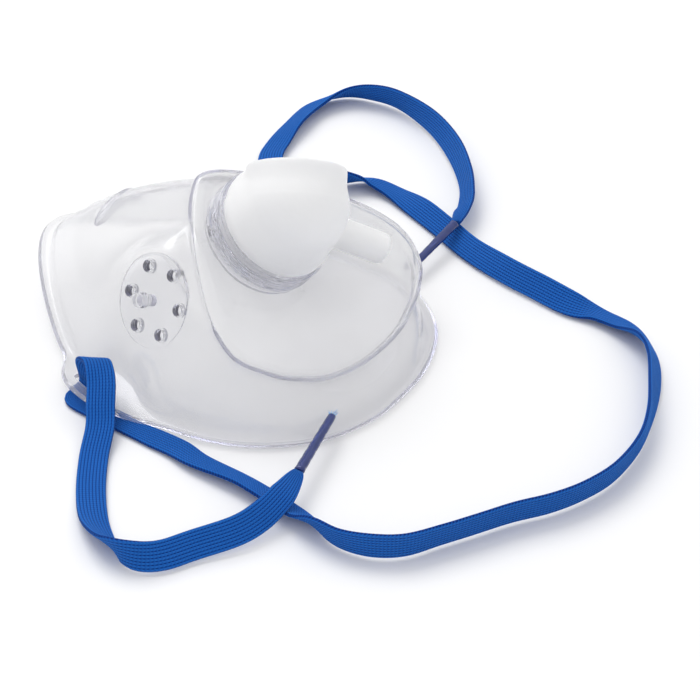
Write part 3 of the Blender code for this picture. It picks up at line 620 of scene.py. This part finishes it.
# %% Strap slots
SLOT_BEYOND_RIM = 1.6 * MM
SLOT_SIZE = Vector((9.0, 2.8, 8.8)) * MM
SLOT_CORNER = 1.15 * MM
for side in (-1.0, 1.0):
    theta = radians(EAR_ANGLE) * side
    outward = rim_outward(theta)
    middle = rim_plan(theta) + outward * SLOT_BEYOND_RIM
    middle.z = rim_height(theta)
    turn = atan2(outward.x, -outward.y)
    bpy.ops.mesh.primitive_cube_add(size=1.0, location=middle, rotation=(0.0, 0.0, turn))
    slot = bpy.context.object
    slot.scale = SLOT_SIZE
    bpy.ops.object.transform_apply(location=False, rotation=False, scale=True)
    corner = slot.modifiers.new("Corners", "BEVEL")
    corner.width = SLOT_CORNER
    corner.segments = 6
    finish_piece(slot)
    cuts.append(slot)
print("slots at", round(middle.x / MM, 2), round(middle.y / MM, 2))

# %% Join and cut the shell
def join_pieces(pieces):
    bpy.ops.object.select_all(action="DESELECT")
    for piece in pieces:
        piece.select_set(True)
    bpy.context.view_layer.objects.active = pieces[0]
    bpy.ops.object.join()
    bpy.ops.object.transform_apply(location=True, rotation=True, scale=True)
    return pieces[0]


for pieces, operation in ((additions, "UNION"), (cuts, "DIFFERENCE")):
    tool = join_pieces(pieces)
    step = shell.modifiers.new(operation.title(), "BOOLEAN")
    step.operation = operation
    step.solver = "EXACT"
    step.use_self = operation == "UNION"
    step.object = tool
    finish_piece(shell)
    bpy.data.objects.remove(tool, do_unlink=True)
select_only(shell)
bpy.ops.object.shade_smooth_by_angle(angle=radians(32.0))
shell.select_set(False)
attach(shell, "mask")
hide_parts("mask_shell")
print("shell", len(shell.data.polygons), "faces")

# %% [markdown]
# ## The elbow
# The elbow is blown polythene: the ball flows into its wide outlet and its thin nozzle without a hard edge.
# A copy of the mechanical solid is merged, remeshed in fine cubes and relaxed, which melts every joint into
# a small fillet and leaves the fit in the collar as it is.

# %% Melt the elbow
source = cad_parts["swivel_elbow"]
elbow = add_object("soft_elbow", source.data.copy())
elbow.matrix_world = source.matrix_world
elbow.data.materials.clear()
select_only(elbow)
bpy.ops.object.mode_set(mode="EDIT")
bpy.ops.mesh.select_all(action="SELECT")
bpy.ops.mesh.remove_doubles(threshold=0.000005)
bpy.ops.object.mode_set(mode="OBJECT")
melt = elbow.modifiers.new("Melt", "REMESH")
melt.mode = "VOXEL"
melt.voxel_size = 0.36 * MM
relax = elbow.modifiers.new("Relax", "SMOOTH")
relax.factor = 0.5
relax.iterations = 22
finish_piece(elbow)
BALL = COLLAR_ORIGIN + COLLAR_AXIS * 16.2 * MM
OUTLET_WAY = Vector((-0.3474, 0.5785, 0.7380)).normalized()
JOINT_OUT = 4.2 * MM
JOINT_REACH = 3.4 * MM
joint = elbow.vertex_groups.new(name="joint")
joint.add([v.index for v in elbow.data.vertices
           if abs((v.co - BALL).dot(OUTLET_WAY) - JOINT_OUT) < JOINT_REACH], 1.0, "REPLACE")
blend = elbow.modifiers.new("Blend", "SMOOTH")
blend.factor = 0.5
blend.iterations = 90
blend.vertex_group = "joint"
finish_piece(elbow)
elbow.select_set(True)
bpy.ops.object.shade_smooth()
elbow.select_set(False)
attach(elbow, "elbow")
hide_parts("swivel_elbow")
print("elbow", len(elbow.data.polygons), "faces")

# %% [markdown]
# ## The elastic
# The head strap is a flat braided elastic, seven millimetres wide and a little over one thick. It could be
# a curve with a flat bevel, but a curve can't twist as freely as this ribbon does, and it has no ribs. So
# it is skinned from cross-sections. Each point of the route gives the middle of the braid, the direction of
# its width and the share of its full width, because the elastic bunches up in the slots and at its tips.

# %% Route of the elastic
ELASTIC_WIDTH = 0.007
ELASTIC_THICKNESS = 0.0012
# From the near tail over the near slot, round the mask and through the far slot to the far tail. Where the
# photo shows the braid, x and y come from marks on the photo that a measuring script centred on the braid and
# projected through the camera. Heights, width directions, shares and the hidden stretches were set one by
# one.
ELASTIC_ROUTE = [
    ((0.0547, -0.0466, 0.0060), (0.9, 0.1, -0.3), 0.36),
    ((0.0555, -0.0495, 0.0061), (0.87, 0.1, -0.5), 0.62),
    ((0.0570, -0.0562, 0.0064), (0.78, 0.05, -0.62), 0.92),
    ((0.0566, -0.0639, 0.0052), (0.62, -0.2, -0.75), 1.0),
    ((0.0545, -0.0707, 0.0043), (0.55, -0.28, -0.79), 1.0),
    ((0.0491, -0.0795, 0.0036), (0.53, -0.3, -0.79), 1.0),
    ((0.0456, -0.0863, 0.0036), (0.47, -0.35, -0.81), 1.0),
    ((0.0420, -0.0900, 0.0040), (0.14, -0.35, -0.93), 1.0),
    ((0.0373, -0.0912, 0.00425), (0, 0.09, -1), 1.0),
    ((0.0341, -0.0903, 0.0038), (0.15, 0.47, -0.87), 1.0),
    ((0.0298, -0.0880, 0.0029), (0.39, 0.67, -0.62), 1.0),
    ((0.0227, -0.0826, 0.00165), (0.69, 0.68, -0.26), 1.0),
    ((0.0147, -0.0735, 0.0009), (0.78, 0.62, 0), 1.0),
    ((0.0076, -0.0634, 0.0013), (0.83, 0.56, 0), 1.0),
    ((0.0032, -0.0553, 0.0034), (0.85, 0.5, 0), 1.0),
    ((0.0003, -0.0512, 0.0062), (0.82, 0.57, 0), 1.0),
    ((-0.0027, -0.0469, 0.0090), (0.8, 0.6, 0.05), 1.0),
    ((-0.0052, -0.0443, 0.0106), (0.66, 0.74, -0.12), 1.0),
    ((-0.0076, -0.0423, 0.0110), (0.57, 0.79, -0.2), 1.0),
    ((-0.0099, -0.0412, 0.0098), (0.6, 0.74, -0.33), 1.0),
    ((-0.0113, -0.0411, 0.0076), (0.9, 0.3, -0.3), 1.0),
    ((-0.0116, -0.0416, 0.0056), (0.95, -0.2, 0), 1.0),
    ((-0.01157, -0.0418, 0.0036), (0.934, -0.357, 0), 0.92),
    ((-0.0116, -0.0419, 0.0020), (0.934, -0.357, 0), 0.88),
    ((-0.0118, -0.0427, 0.00095), (0.934, -0.357, 0), 0.82),
    ((-0.0122, -0.0443, 0.0008), (0.95, -0.3, 0), 0.72),
    ((-0.0123, -0.0458, 0.0008), (0.98, 0.17, 0), 0.66),
    ((-0.0110, -0.0473, 0.0008), (0.71, 0.71, 0), 0.66),
    ((-0.0080, -0.0479, 0.0008), (0.15, 0.98, 0), 0.7),
    ((-0.0030, -0.0480, 0.0008), (0, 1, 0), 0.8),
    ((0.0030, -0.0483, 0.0008), (0, 1, 0), 0.8),
    ((0.0090, -0.0487, 0.0008), (0, 1, 0), 0.84),
    ((0.0148, -0.0489, 0.00085), (0, 1, 0), 0.95),
    ((0.0220, -0.0494, 0.0010), (0, 0.99, -0.06), 1.0),
    ((0.0291, -0.0510, 0.00135), (0, 0.97, -0.22), 1.0),
    ((0.0408, -0.0518, 0.0019), (-0.04, 0.92, -0.39), 1.0),
    ((0.0470, -0.0526, 0.0019), (-0.06, 0.92, -0.39), 1.0),
    ((0.0540, -0.0540, 0.0019), (-0.04, 0.92, -0.39), 1.0),
    ((0.0619, -0.0560, 0.00225), (0.1, 0.87, -0.48), 1.0),
    ((0.0691, -0.0589, 0.00395), (0.1, 0.41, -0.91), 1.0),
    ((0.0759, -0.0599, 0.00415), (0, 0.26, -0.97), 1.0),
    ((0.0831, -0.0580, 0.0043), (-0.04, 0.1, -0.99), 1.0),
    ((0.0890, -0.0536, 0.00425), (-0.09, 0.11, -0.99), 1.0),
    ((0.0937, -0.0458, 0.0042), (-0.19, 0.11, -0.97), 1.0),
    ((0.0979, -0.0384, 0.0042), (-0.2, 0.11, -0.97), 1.0),
    ((0.1026, -0.0299, 0.0042), (-0.2, 0.12, -0.97), 1.0),
    ((0.1080, -0.0220, 0.0042), (-0.2, 0.12, -0.97), 1.0),
    ((0.1118, -0.0138, 0.0042), (-0.22, 0.09, -0.97), 1.0),
    ((0.1141, -0.0037, 0.0042), (-0.2, 0, -0.98), 1.0),
    ((0.1135, 0.0085, 0.00425), (-0.14, -0.03, -0.99), 1.0),
    ((0.1104, 0.0196, 0.0043), (0.03, 0.01, -1), 1.0),
    ((0.1048, 0.0325, 0.0041), (0.31, 0.18, -0.93), 1.0),
    ((0.0988, 0.0431, 0.0039), (0.37, 0.28, -0.88), 1.0),
    ((0.0928, 0.0494, 0.0036), (0.36, 0.46, -0.81), 1.0),
    ((0.0845, 0.0544, 0.0020), (0.28, 0.89, -0.34), 1.0),
    ((0.0755, 0.0562, 0.0014), (0.05, 0.98, -0.17), 1.0),
    ((0.0677, 0.0552, 0.0026), (0, 0.85, 0.5), 1.0),
    ((0.0586, 0.0562, 0.0033), (0.14, 0.67, 0.73), 1.0),
    ((0.0469, 0.0586, 0.00325), (0.18, 0.69, 0.7), 1.0),
    ((0.0332, 0.0636, 0.0022), (0.37, 0.85, 0.39), 1.0),
    ((0.0220, 0.0689, 0.00195), (0.4, 0.86, 0.32), 1.0),
    ((0.0108, 0.0737, 0.0020), (0.36, 0.87, 0.34), 1.0),
    ((0.0005, 0.0778, 0.0013), (0.2, 0.97, -0.14), 1.0),
    ((-0.0072, 0.0782, 0.0021), (0, 0.94, -0.34), 1.0),
    ((-0.0122, 0.0753, 0.0032), (-0.35, 0.61, -0.71), 1.0),
    ((-0.0158, 0.0707, 0.00395), (-0.32, 0.2, -0.92), 1.0),
    ((-0.0176, 0.0650, 0.0039), (-0.45, 0.05, -0.88), 1.0),
    ((-0.0176, 0.0590, 0.0031), (-0.77, -0.05, -0.64), 1.0),
    ((-0.0162, 0.0532, 0.0019), (-0.88, -0.25, -0.35), 0.97),
    ((-0.0144, 0.0485, 0.00095), (-0.93, -0.33, -0.03), 0.9),
    ((-0.0130, 0.0456, 0.0008), (-0.934, -0.357, 0), 0.8),
    ((-0.0119, 0.0429, 0.0009), (-0.934, -0.357, 0), 0.82),
    ((-0.0116, 0.0419, 0.0020), (-0.934, -0.357, 0), 0.88),
    ((-0.01157, 0.0418, 0.0036), (-0.934, -0.357, 0), 0.92),
    ((-0.0115, 0.0414, 0.0058), (-0.934, -0.357, 0), 1.0),
    ((-0.0120, 0.0419, 0.0080), (-0.934, -0.357, 0), 1.0),
    ((-0.0136, 0.0441, 0.0093), (-0.93, -0.36, 0), 1.0),
    ((-0.0164, 0.0476, 0.0086), (-0.92, -0.38, 0), 1.0),
    ((-0.0200, 0.0520, 0.0064), (-0.9, -0.43, 0), 1.0),
    ((-0.0245, 0.0572, 0.0038), (-0.85, -0.53, 0), 1.0),
    ((-0.0295, 0.0628, 0.0019), (-0.85, -0.53, 0), 1.0),
    ((-0.0350, 0.0688, 0.00115), (-0.9, -0.42, -0.08), 1.0),
    ((-0.0396, 0.0754, 0.0014), (-0.95, -0.25, -0.17), 1.0),
    ((-0.0419, 0.0823, 0.0015), (-0.95, -0.2, -0.19), 1.0),
    ((-0.0439, 0.0925, 0.0023), (-0.9, -0.09, -0.43), 1.0),
    ((-0.0449, 0.1045, 0.0023), (-0.89, 0.18, -0.41), 1.0),
    ((-0.0412, 0.1136, 0.0032), (-0.475, 0.54, -0.69), 1.0),
    ((-0.0334, 0.1173, 0.00405), (-0.08, 0.4, -0.91), 1.0),
    ((-0.0241, 0.1174, 0.0043), (0.02, 0.17, -0.98), 1.0),
    ((-0.0099, 0.1121, 0.00425), (-0.13, -0.18, -0.97), 1.0),
    ((0.0029, 0.1032, 0.0040), (-0.33, -0.28, -0.9), 1.0),
    ((0.0137, 0.0919, 0.0040), (-0.36, -0.24, -0.9), 1.0),
    ((0.0199, 0.0824, 0.0038), (-0.57, -0.25, -0.79), 0.95),
    ((0.0226, 0.0760, 0.0045), (-0.8, -0.2, -0.5), 0.75),
    ((0.0244, 0.0712, 0.0051), (-0.93, -0.1, -0.3), 0.5),
    ((0.0252, 0.0684, 0.0052), (-0.95, -0.05, -0.2), 0.36),
]
SLOT_STOPS = [i for i, stop in enumerate(ELASTIC_ROUTE) if abs(abs(stop[0][1]) - 0.0418) < 1e-6]
print("route points", len(ELASTIC_ROUTE), "slots at", SLOT_STOPS)

# %% [markdown]
# Between the points the ribbon follows a Catmull-Rom curve, which passes through every point and bends
# smoothly. The stations are less than a millimetre apart, so that folds stay round.

# %% Stations along the elastic
STATION_STEP = 0.0009


def smooth_between(p0, p1, p2, p3, t):
    """Catmull-Rom from p1 to p2."""
    return 0.5 * (2.0 * p1 + (p2 - p0) * t + (2.0 * p0 - 5.0 * p1 + 4.0 * p2 - p3) * t * t
                  + (3.0 * p1 - p0 - 3.0 * p2 + p3) * t ** 3)


def stations_between(first, last):
    """Middle, width direction and width share at each station from one route point to another."""
    knots = [(Vector(middle), Vector(across).normalized(), share) for middle, across, share in ELASTIC_ROUTE]
    stations = []
    for i in range(first, last):
        before, here, after, beyond = (knots[max(0, min(len(knots) - 1, i + k))] for k in (-1, 0, 1, 2))
        steps = max(1, round((after[0] - here[0]).length / STATION_STEP))
        for k in range(steps):
            t = k / steps
            place = smooth_between(before[0], here[0], after[0], beyond[0], t)
            across = smooth_between(before[1], here[1], after[1], beyond[1], t)
            stations.append((place, across.normalized(), here[2] + (after[2] - here[2]) * t))
    stations.append(knots[last])
    return stations


near_tail = stations_between(0, SLOT_STOPS[0])
main_run = stations_between(SLOT_STOPS[0], SLOT_STOPS[1])
far_tail = stations_between(SLOT_STOPS[1], len(ELASTIC_ROUTE) - 1)
print("stations", len(near_tail), len(main_run), len(far_tail))

# %% [markdown]
# The braid has nine lengthwise ribs on each face. They are real relief in the section, so the edge and the
# folds show them too, and each vertex remembers where it lies: its rib across and its millimetre along.

# %% Ribbed ribbon
BRAID_RIBS = 9
POINTS_PER_RIB = 4
RIB_DEPTH = 0.17
BRAID_EDGE = 0.4
RIB_TOTAL = BRAID_RIBS * POINTS_PER_RIB


def braid_face(u):
    """Half thickness of the braid across its width, u from -1 to 1, as a share of the full half thickness."""
    edge = BRAID_EDGE + (1.0 - BRAID_EDGE) * (1.0 - abs(u) ** 8) ** 0.5
    groove = 0.5 + 0.5 * cos(pi * BRAID_RIBS * (u + 1.0))
    return edge * (1.0 - RIB_DEPTH * groove)


def knit_ribbon(name, stations):
    """Skins the stations with the ribbed section and closes both ends."""
    bm = bmesh.new()
    notes = bm.verts.layers.float_vector.new("braid")
    across_steps = [2.0 * i / RIB_TOTAL - 1.0 for i in range(RIB_TOTAL + 1)]
    outline = [(u, braid_face(u)) for u in across_steps]
    outline += [(u, -v) for u, v in reversed(outline)]
    places = [s[0] for s in stations]
    rings = []
    travelled = 0.0
    for i, (place, across, share) in enumerate(stations):
        along = (places[min(i + 1, len(places) - 1)] - places[max(i - 1, 0)]).normalized()
        across = (across - along * across.dot(along)).normalized()
        face = along.cross(across)
        travelled += (place - places[max(i - 1, 0)]).length
        ring = []
        for u, v in outline:
            corner = bm.verts.new(place + across * (0.5 * ELASTIC_WIDTH * share * u)
                                  + face * (0.5 * ELASTIC_THICKNESS * v))
            corner[notes] = (0.5 * BRAID_RIBS * (u + 1.0), travelled * 1000.0, v)
            ring.append(corner)
        rings.append(ring)
    count = len(outline)
    for lower, upper in zip(rings, rings[1:]):
        for i in range(count):
            j = (i + 1) % count
            bm.faces.new((lower[i], upper[i], upper[j], lower[j]))
    ribbon = tube_object(name, bm, rings)
    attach(ribbon, "mask")
    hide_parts("head_strap")
    print(name, "length", round(travelled, 4))
    return ribbon, travelled


near_ribbon, near_length = knit_ribbon("strap_near_tail", near_tail)
main_ribbon, main_length = knit_ribbon("strap_main_run", main_run)
far_ribbon, far_length = knit_ribbon("strap_far_tail", far_tail)

# %% [markdown]
# ## Braid finish
# Each rib is a plait of fine yarns, seen as short slanting stitches that meet in a V. The pattern follows
# the braid's own coordinates, so it turns with the ribbon, and one constant sets its pitch.

# %% Braid material
STITCH_LENGTH = 0.85
braid_material, tree, shader = start_material(
    "blue_braided_elastic", roughness=0.9, specular_ior_level=0.15, sheen_weight=0.22)
shader.inputs["Sheen Roughness"].default_value = 0.4
shader.inputs["Sheen Tint"].default_value = (0.25, 0.55, 1.0, 1.0)
where = add_node(tree, "ShaderNodeAttribute", attribute_name="braid")
split = add_node(tree, "ShaderNodeSeparateXYZ")
tree.links.new(where.outputs["Vector"], split.inputs["Vector"])
rib = maths(tree, "FRACT", split.outputs["X"])
crown = maths(tree, "PINGPONG", rib, 0.5)
slanted = maths(tree, "MULTIPLY_ADD", crown, 1.1, split.outputs["Y"])
stitch = maths(tree, "SINE", maths(tree, "MULTIPLY", slanted, 2.0 * pi / STITCH_LENGTH))
groove = add_node(tree, "ShaderNodeMapRange", interpolation_type="SMOOTHSTEP")
groove.inputs["From Min"].default_value = 0.02
groove.inputs["From Max"].default_value = 0.24
tree.links.new(crown, groove.inputs["Value"])
stretch = add_node(tree, "ShaderNodeMapping")
stretch.inputs["Scale"].default_value = (3.0, 5.0, 1.0)
tree.links.new(where.outputs["Vector"], stretch.inputs["Vector"])
yarns = noise(tree, stretch.outputs["Vector"], 1.0)
relief = maths(tree, "MULTIPLY_ADD", stitch, 0.32, groove.outputs["Result"])
shade = maths(tree, "MULTIPLY_ADD", maths(tree, "SUBTRACT", yarns, 0.5), 0.9, relief)
# Painted shade and highlight: the colour is darkest in the grooves and between the stitches, which is painted
# shade in those hollows, and lightest on the stitch tops, which is painted highlight. The yarn noise on top
# is the braid's own random tone.
tint_by(tree, shader, maths(tree, "MULTIPLY_ADD", shade, 0.8, 0.1),
        [(0.0, (0.0008, 0.022, 0.16)), (0.45, (0.004, 0.075, 0.37)), (0.95, (0.014, 0.135, 0.52))])
emboss(tree, shader, shade, 0.6, 0.0002)
for ribbon in (near_ribbon, main_ribbon, far_ribbon):
    ribbon.data.materials.append(braid_material)
print("braid material", braid_material.name)

# %% [markdown]
# ## Clear vinyl
# The shell is clear but soft: it bends what lies behind it, takes a little light away in each wall, and
# shows lavender where the wall is seen on edge. One Principled shader with full transmission does that, and
# an absorbing volume gives the colour of the long way through an edge. Lamps can't shine through refraction
# in a path tracer, so for shadow rays and for light on its way to the table the wall is swapped for a plain
# transparent shader. It is swapped too after a few bends, because a trapped ray leaves a black line. The
# mould leaves faint flow marks and a fine grain on both plastics. One node group makes them, and each
# material places it with its own scales. The walls of the vent holes are a darker lavender, which is
# painted shade standing in for the shade inside the holes.

# %% Vinyl material
MOST_BENDS = 6.0
MOST_MIRRORINGS = 2.0


def let_light_through(tree, shader, tint):
    """Swaps a shader for a transparent one on shadow rays, on diffuse rays, and deep inside the wall."""
    path = add_node(tree, "ShaderNodeLightPath")
    deep = maths(tree, "GREATER_THAN", path.outputs["Ray Depth"], MOST_BENDS)
    trapped = maths(tree, "GREATER_THAN", path.outputs["Glossy Depth"], MOST_MIRRORINGS)
    lamp = maths(tree, "MAXIMUM", path.outputs["Is Shadow Ray"], path.outputs["Is Diffuse Ray"])
    either = maths(tree, "MAXIMUM", lamp, maths(tree, "MAXIMUM", deep, trapped))
    clear = add_node(tree, "ShaderNodeBsdfTransparent")
    clear.inputs["Color"].default_value = (*tint, 1.0)
    mix = add_node(tree, "ShaderNodeMixShader")
    tree.links.new(either, mix.inputs["Fac"])
    tree.links.new(shader.outputs["BSDF"], mix.inputs[1])
    tree.links.new(clear.outputs["BSDF"], mix.inputs[2])
    tree.links.new(mix.outputs["Shader"], tree.nodes["Material Output"].inputs["Surface"])


def build_moulded_skin():
    """Node group: the faint flow marks and fine grain that a mould leaves, as a mask and a height."""
    group = bpy.data.node_groups.new("moulded_skin", "ShaderNodeTree")
    sockets = [("Flow Scale", "INPUT"), ("Grain Scale", "INPUT"), ("Flow", "OUTPUT"), ("Height", "OUTPUT")]
    for socket, way in sockets:
        group.interface.new_socket(name=socket, in_out=way, socket_type="NodeSocketFloat")
    given = add_node(group, "NodeGroupInput")
    result = add_node(group, "NodeGroupOutput")
    place = add_node(group, "ShaderNodeTexCoord")
    flow = add_node(group, "ShaderNodeTexNoise")
    flow.inputs["Detail"].default_value = 3.0
    flow.inputs["Distortion"].default_value = 0.6
    grain = add_node(group, "ShaderNodeTexNoise")
    grain.inputs["Detail"].default_value = 2.0
    for texture, scale in ((flow, "Flow Scale"), (grain, "Grain Scale")):
        group.links.new(place.outputs["Object"], texture.inputs["Vector"])
        group.links.new(given.outputs[scale], texture.inputs["Scale"])
    height = maths(group, "MULTIPLY_ADD", grain.outputs["Fac"], 0.25, flow.outputs["Fac"])
    group.links.new(flow.outputs["Fac"], result.inputs["Flow"])
    group.links.new(height, result.inputs["Height"])
    return group


moulded_skin = build_moulded_skin()


def give_skin(tree, shader, scales, colours, roughness, depth):
    """Feeds the moulded skin to a shader's colour, roughness and bump."""
    skin = add_node(tree, "ShaderNodeGroup", node_tree=moulded_skin)
    skin.inputs["Flow Scale"].default_value = scales[0]
    skin.inputs["Grain Scale"].default_value = scales[1]
    tint_by(tree, shader, skin.outputs["Flow"], [(0.3, colours[0]), (0.7, colours[1])])
    rough = add_node(tree, "ShaderNodeMapRange")
    rough.inputs["From Min"].default_value = 0.3
    rough.inputs["From Max"].default_value = 0.7
    rough.inputs["To Min"].default_value = roughness[0]
    rough.inputs["To Max"].default_value = roughness[1]
    tree.links.new(skin.outputs["Flow"], rough.inputs["Value"])
    tree.links.new(rough.outputs["Result"], shader.inputs["Roughness"])
    emboss(tree, shader, skin.outputs["Height"], 0.5, depth)


def make_vinyl(name, colours):
    """Clear soft vinyl: transmission, a little haze, and a volume that tints the long way through."""
    material, tree, shader = start_material(name, ior=1.4, transmission_weight=0.84)
    give_skin(tree, shader, (45.0, 900.0), colours, (0.11, 0.16), 0.00005)
    let_light_through(tree, shader, (0.86, 0.86, 0.86))
    depth = add_node(tree, "ShaderNodeVolumeAbsorption")
    depth.inputs["Color"].default_value = (0.48, 0.48, 0.68, 1.0)
    depth.inputs["Density"].default_value = 75.0
    tree.links.new(depth.outputs["Volume"], tree.nodes["Material Output"].inputs["Volume"])
    return material


vinyl = make_vinyl("clear_soft_vinyl", ((0.965, 0.965, 0.95), (0.995, 0.995, 0.985)))
# Painted shade: the vent hole walls get a darker lavender copy of the vinyl, which stands in for the shade
# inside the holes.
hole_shade_vinyl = make_vinyl("vent_hole_shade_vinyl", ((0.94, 0.94, 0.99), (0.96, 0.96, 1.0)))
shell.data.materials.clear()
shell.data.materials.append(vinyl)
shell.data.materials.append(hole_shade_vinyl)
in_holes = 0
for face in shell.data.polygons:
    for place, normal in hole_axes:
        out = face.center - place
        along = out.dot(normal)
        out -= normal * along
        if abs(along) < 2.5 * MM and out.length < 1.05 * HOLE_RADIUS and abs(face.normal.dot(normal)) < 0.5:
            face.material_index = 1
            in_holes += 1
print("hole wall faces:", in_holes)
frosted, tree, shader = start_material(
    "frosted_polythene", ior=1.4, transmission_weight=0.25, subsurface_weight=0.6, subsurface_scale=0.004)
shader.inputs["Subsurface Radius"].default_value = (1.0, 1.0, 1.0)
give_skin(tree, shader, (70.0, 1400.0), ((0.95, 0.95, 0.955), (0.99, 0.99, 0.99)), (0.44, 0.56), 0.00008)
let_light_through(tree, shader, (0.85, 0.85, 0.85))
elbow.data.materials.clear()
elbow.data.materials.append(frosted)
print("materials", vinyl.name, frosted.name)

# %% [markdown]
# ## Crimped tips
# Each tail is gathered and wrapped in a glossy film that shrinks onto it like the tip of a shoelace. The
# wrap is a little flat, its skin dips where it grips the yarn, and its seam runs along one side. It is
# skinned from rings like the elastic, so that each point knows its angle round the tip. Some yarns stick
# out of the near tip.

# %% Tips
TIP_RADIUS = 1.3 * MM
TIP_LENGTH = 24.0 * MM
TIP_STEPS = 60
TIP_SIDES = 28


def wrap_tip(name, node, end, aim):
    """A slightly flattened sleeve from the end of a tail towards a point."""
    way = (aim - end).normalized()
    side = way.cross(Vector((0.0, 0.0, 1.0))).normalized()
    up = side.cross(way)
    start = end + way * 0.3 * MM
    bm = bmesh.new()
    notes = bm.verts.layers.float_vector.new("film")
    rings = []
    for i in range(TIP_STEPS + 1):
        share = i / TIP_STEPS
        radius = TIP_RADIUS * (1.0 - 0.2 * share) * (1.0 - 0.05 * sin(share * 21.0) ** 6)
        radius *= 1.0 - 0.3 * smoothstep((abs(share - 0.5) - 0.485) / 0.015)
        ring = []
        for k in range(TIP_SIDES):
            angle = 2.0 * pi * k / TIP_SIDES
            bulge = 1.0 + 0.1 * smoothstep(1.0 - abs(angle - 1.2) / 0.35)
            corner = bm.verts.new(start + way * TIP_LENGTH * share + side * (radius * bulge * cos(angle))
                                  + up * (0.86 * radius * bulge * sin(angle)))
            corner[notes] = (angle / (2.0 * pi), share * TIP_LENGTH / MM, 0.0)
            ring.append(corner)
        rings.append(ring)
    for lower, upper in zip(rings, rings[1:]):
        for k in range(TIP_SIDES):
            j = (k + 1) % TIP_SIDES
            bm.faces.new((lower[k], lower[j], upper[j], upper[k]))
    tip = tube_object(name, bm, rings)
    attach(tip, "mask")
    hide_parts(node)
    return tip, start + way * TIP_LENGTH, way


near_tip, near_point, near_way = wrap_tip(
    "near_tip", "strap_tip_near", Vector(ELASTIC_ROUTE[0][0]), Vector((48.1, -22.6, 5.7)) * MM)
far_tip = wrap_tip(
    "far_tip", "strap_tip_far", Vector(ELASTIC_ROUTE[-1][0]), Vector((26.6, 44.6, 4.0)) * MM)[0]
YARN_COUNT = 16
YARN_RADIUS = 0.13 * MM
yarns = []
for i in range(YARN_COUNT):
    angle = 2.4 * i
    spread = 0.16 + 0.5 * (i / YARN_COUNT)
    side = near_way.orthogonal().normalized()
    across = side * cos(angle) + near_way.cross(side) * sin(angle)
    root = near_point - near_way * 0.4 * MM + across * spread * 1.2 * MM
    lean = (near_way + across * spread * 1.1).normalized()
    yarns.append(rod(root, lean, YARN_RADIUS, (1.3 + 0.5 * sin(5.0 * i)) * MM, 8, 0.05 * MM))
fray = join_pieces(yarns)
fray.name = "near_tip_fray"
fray.select_set(False)
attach(fray, "mask")
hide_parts("strap_tip_near")
print("tips", near_tip.name, far_tip.name, "yarns", len(yarns))

# %% [markdown]
# The film is a deep violet blue over the gathered yarn. Long pale streaks show where it lies loose, so the
# pattern is stretched along the tip. The loose yarns are paler than the braid, because they are thin.

# %% Film and loose yarn
film, tree, shader = start_material("violet_film", roughness=0.22, coat_weight=0.3)
where = add_node(tree, "ShaderNodeAttribute", attribute_name="film")
stretch = add_node(tree, "ShaderNodeMapping")
stretch.inputs["Scale"].default_value = (7.0, 0.12, 1.0)
tree.links.new(where.outputs["Vector"], stretch.inputs["Vector"])
streaks = noise(tree, stretch.outputs["Vector"], 1.0, 3.0)
tint_by(tree, shader, streaks,
        [(0.35, (0.005, 0.020, 0.13)), (0.6, (0.014, 0.032, 0.18)), (0.75, (0.06, 0.09, 0.32))])
emboss(tree, shader, streaks, 0.4, 0.0002)
yarn, tree, shader = start_material("loose_blue_yarn", roughness=0.8)
where = add_node(tree, "ShaderNodeTexCoord")
tufts = noise(tree, where.outputs["Object"], 1500.0)
tint_by(tree, shader, tufts, [(0.3, (0.02, 0.20, 0.60)), (0.7, (0.10, 0.42, 0.75))])
for piece, material in ((near_tip, film), (far_tip, film), (fray, yarn)):
    piece.data.materials.clear()
    piece.data.materials.append(material)
print("materials", film.name, yarn.name)
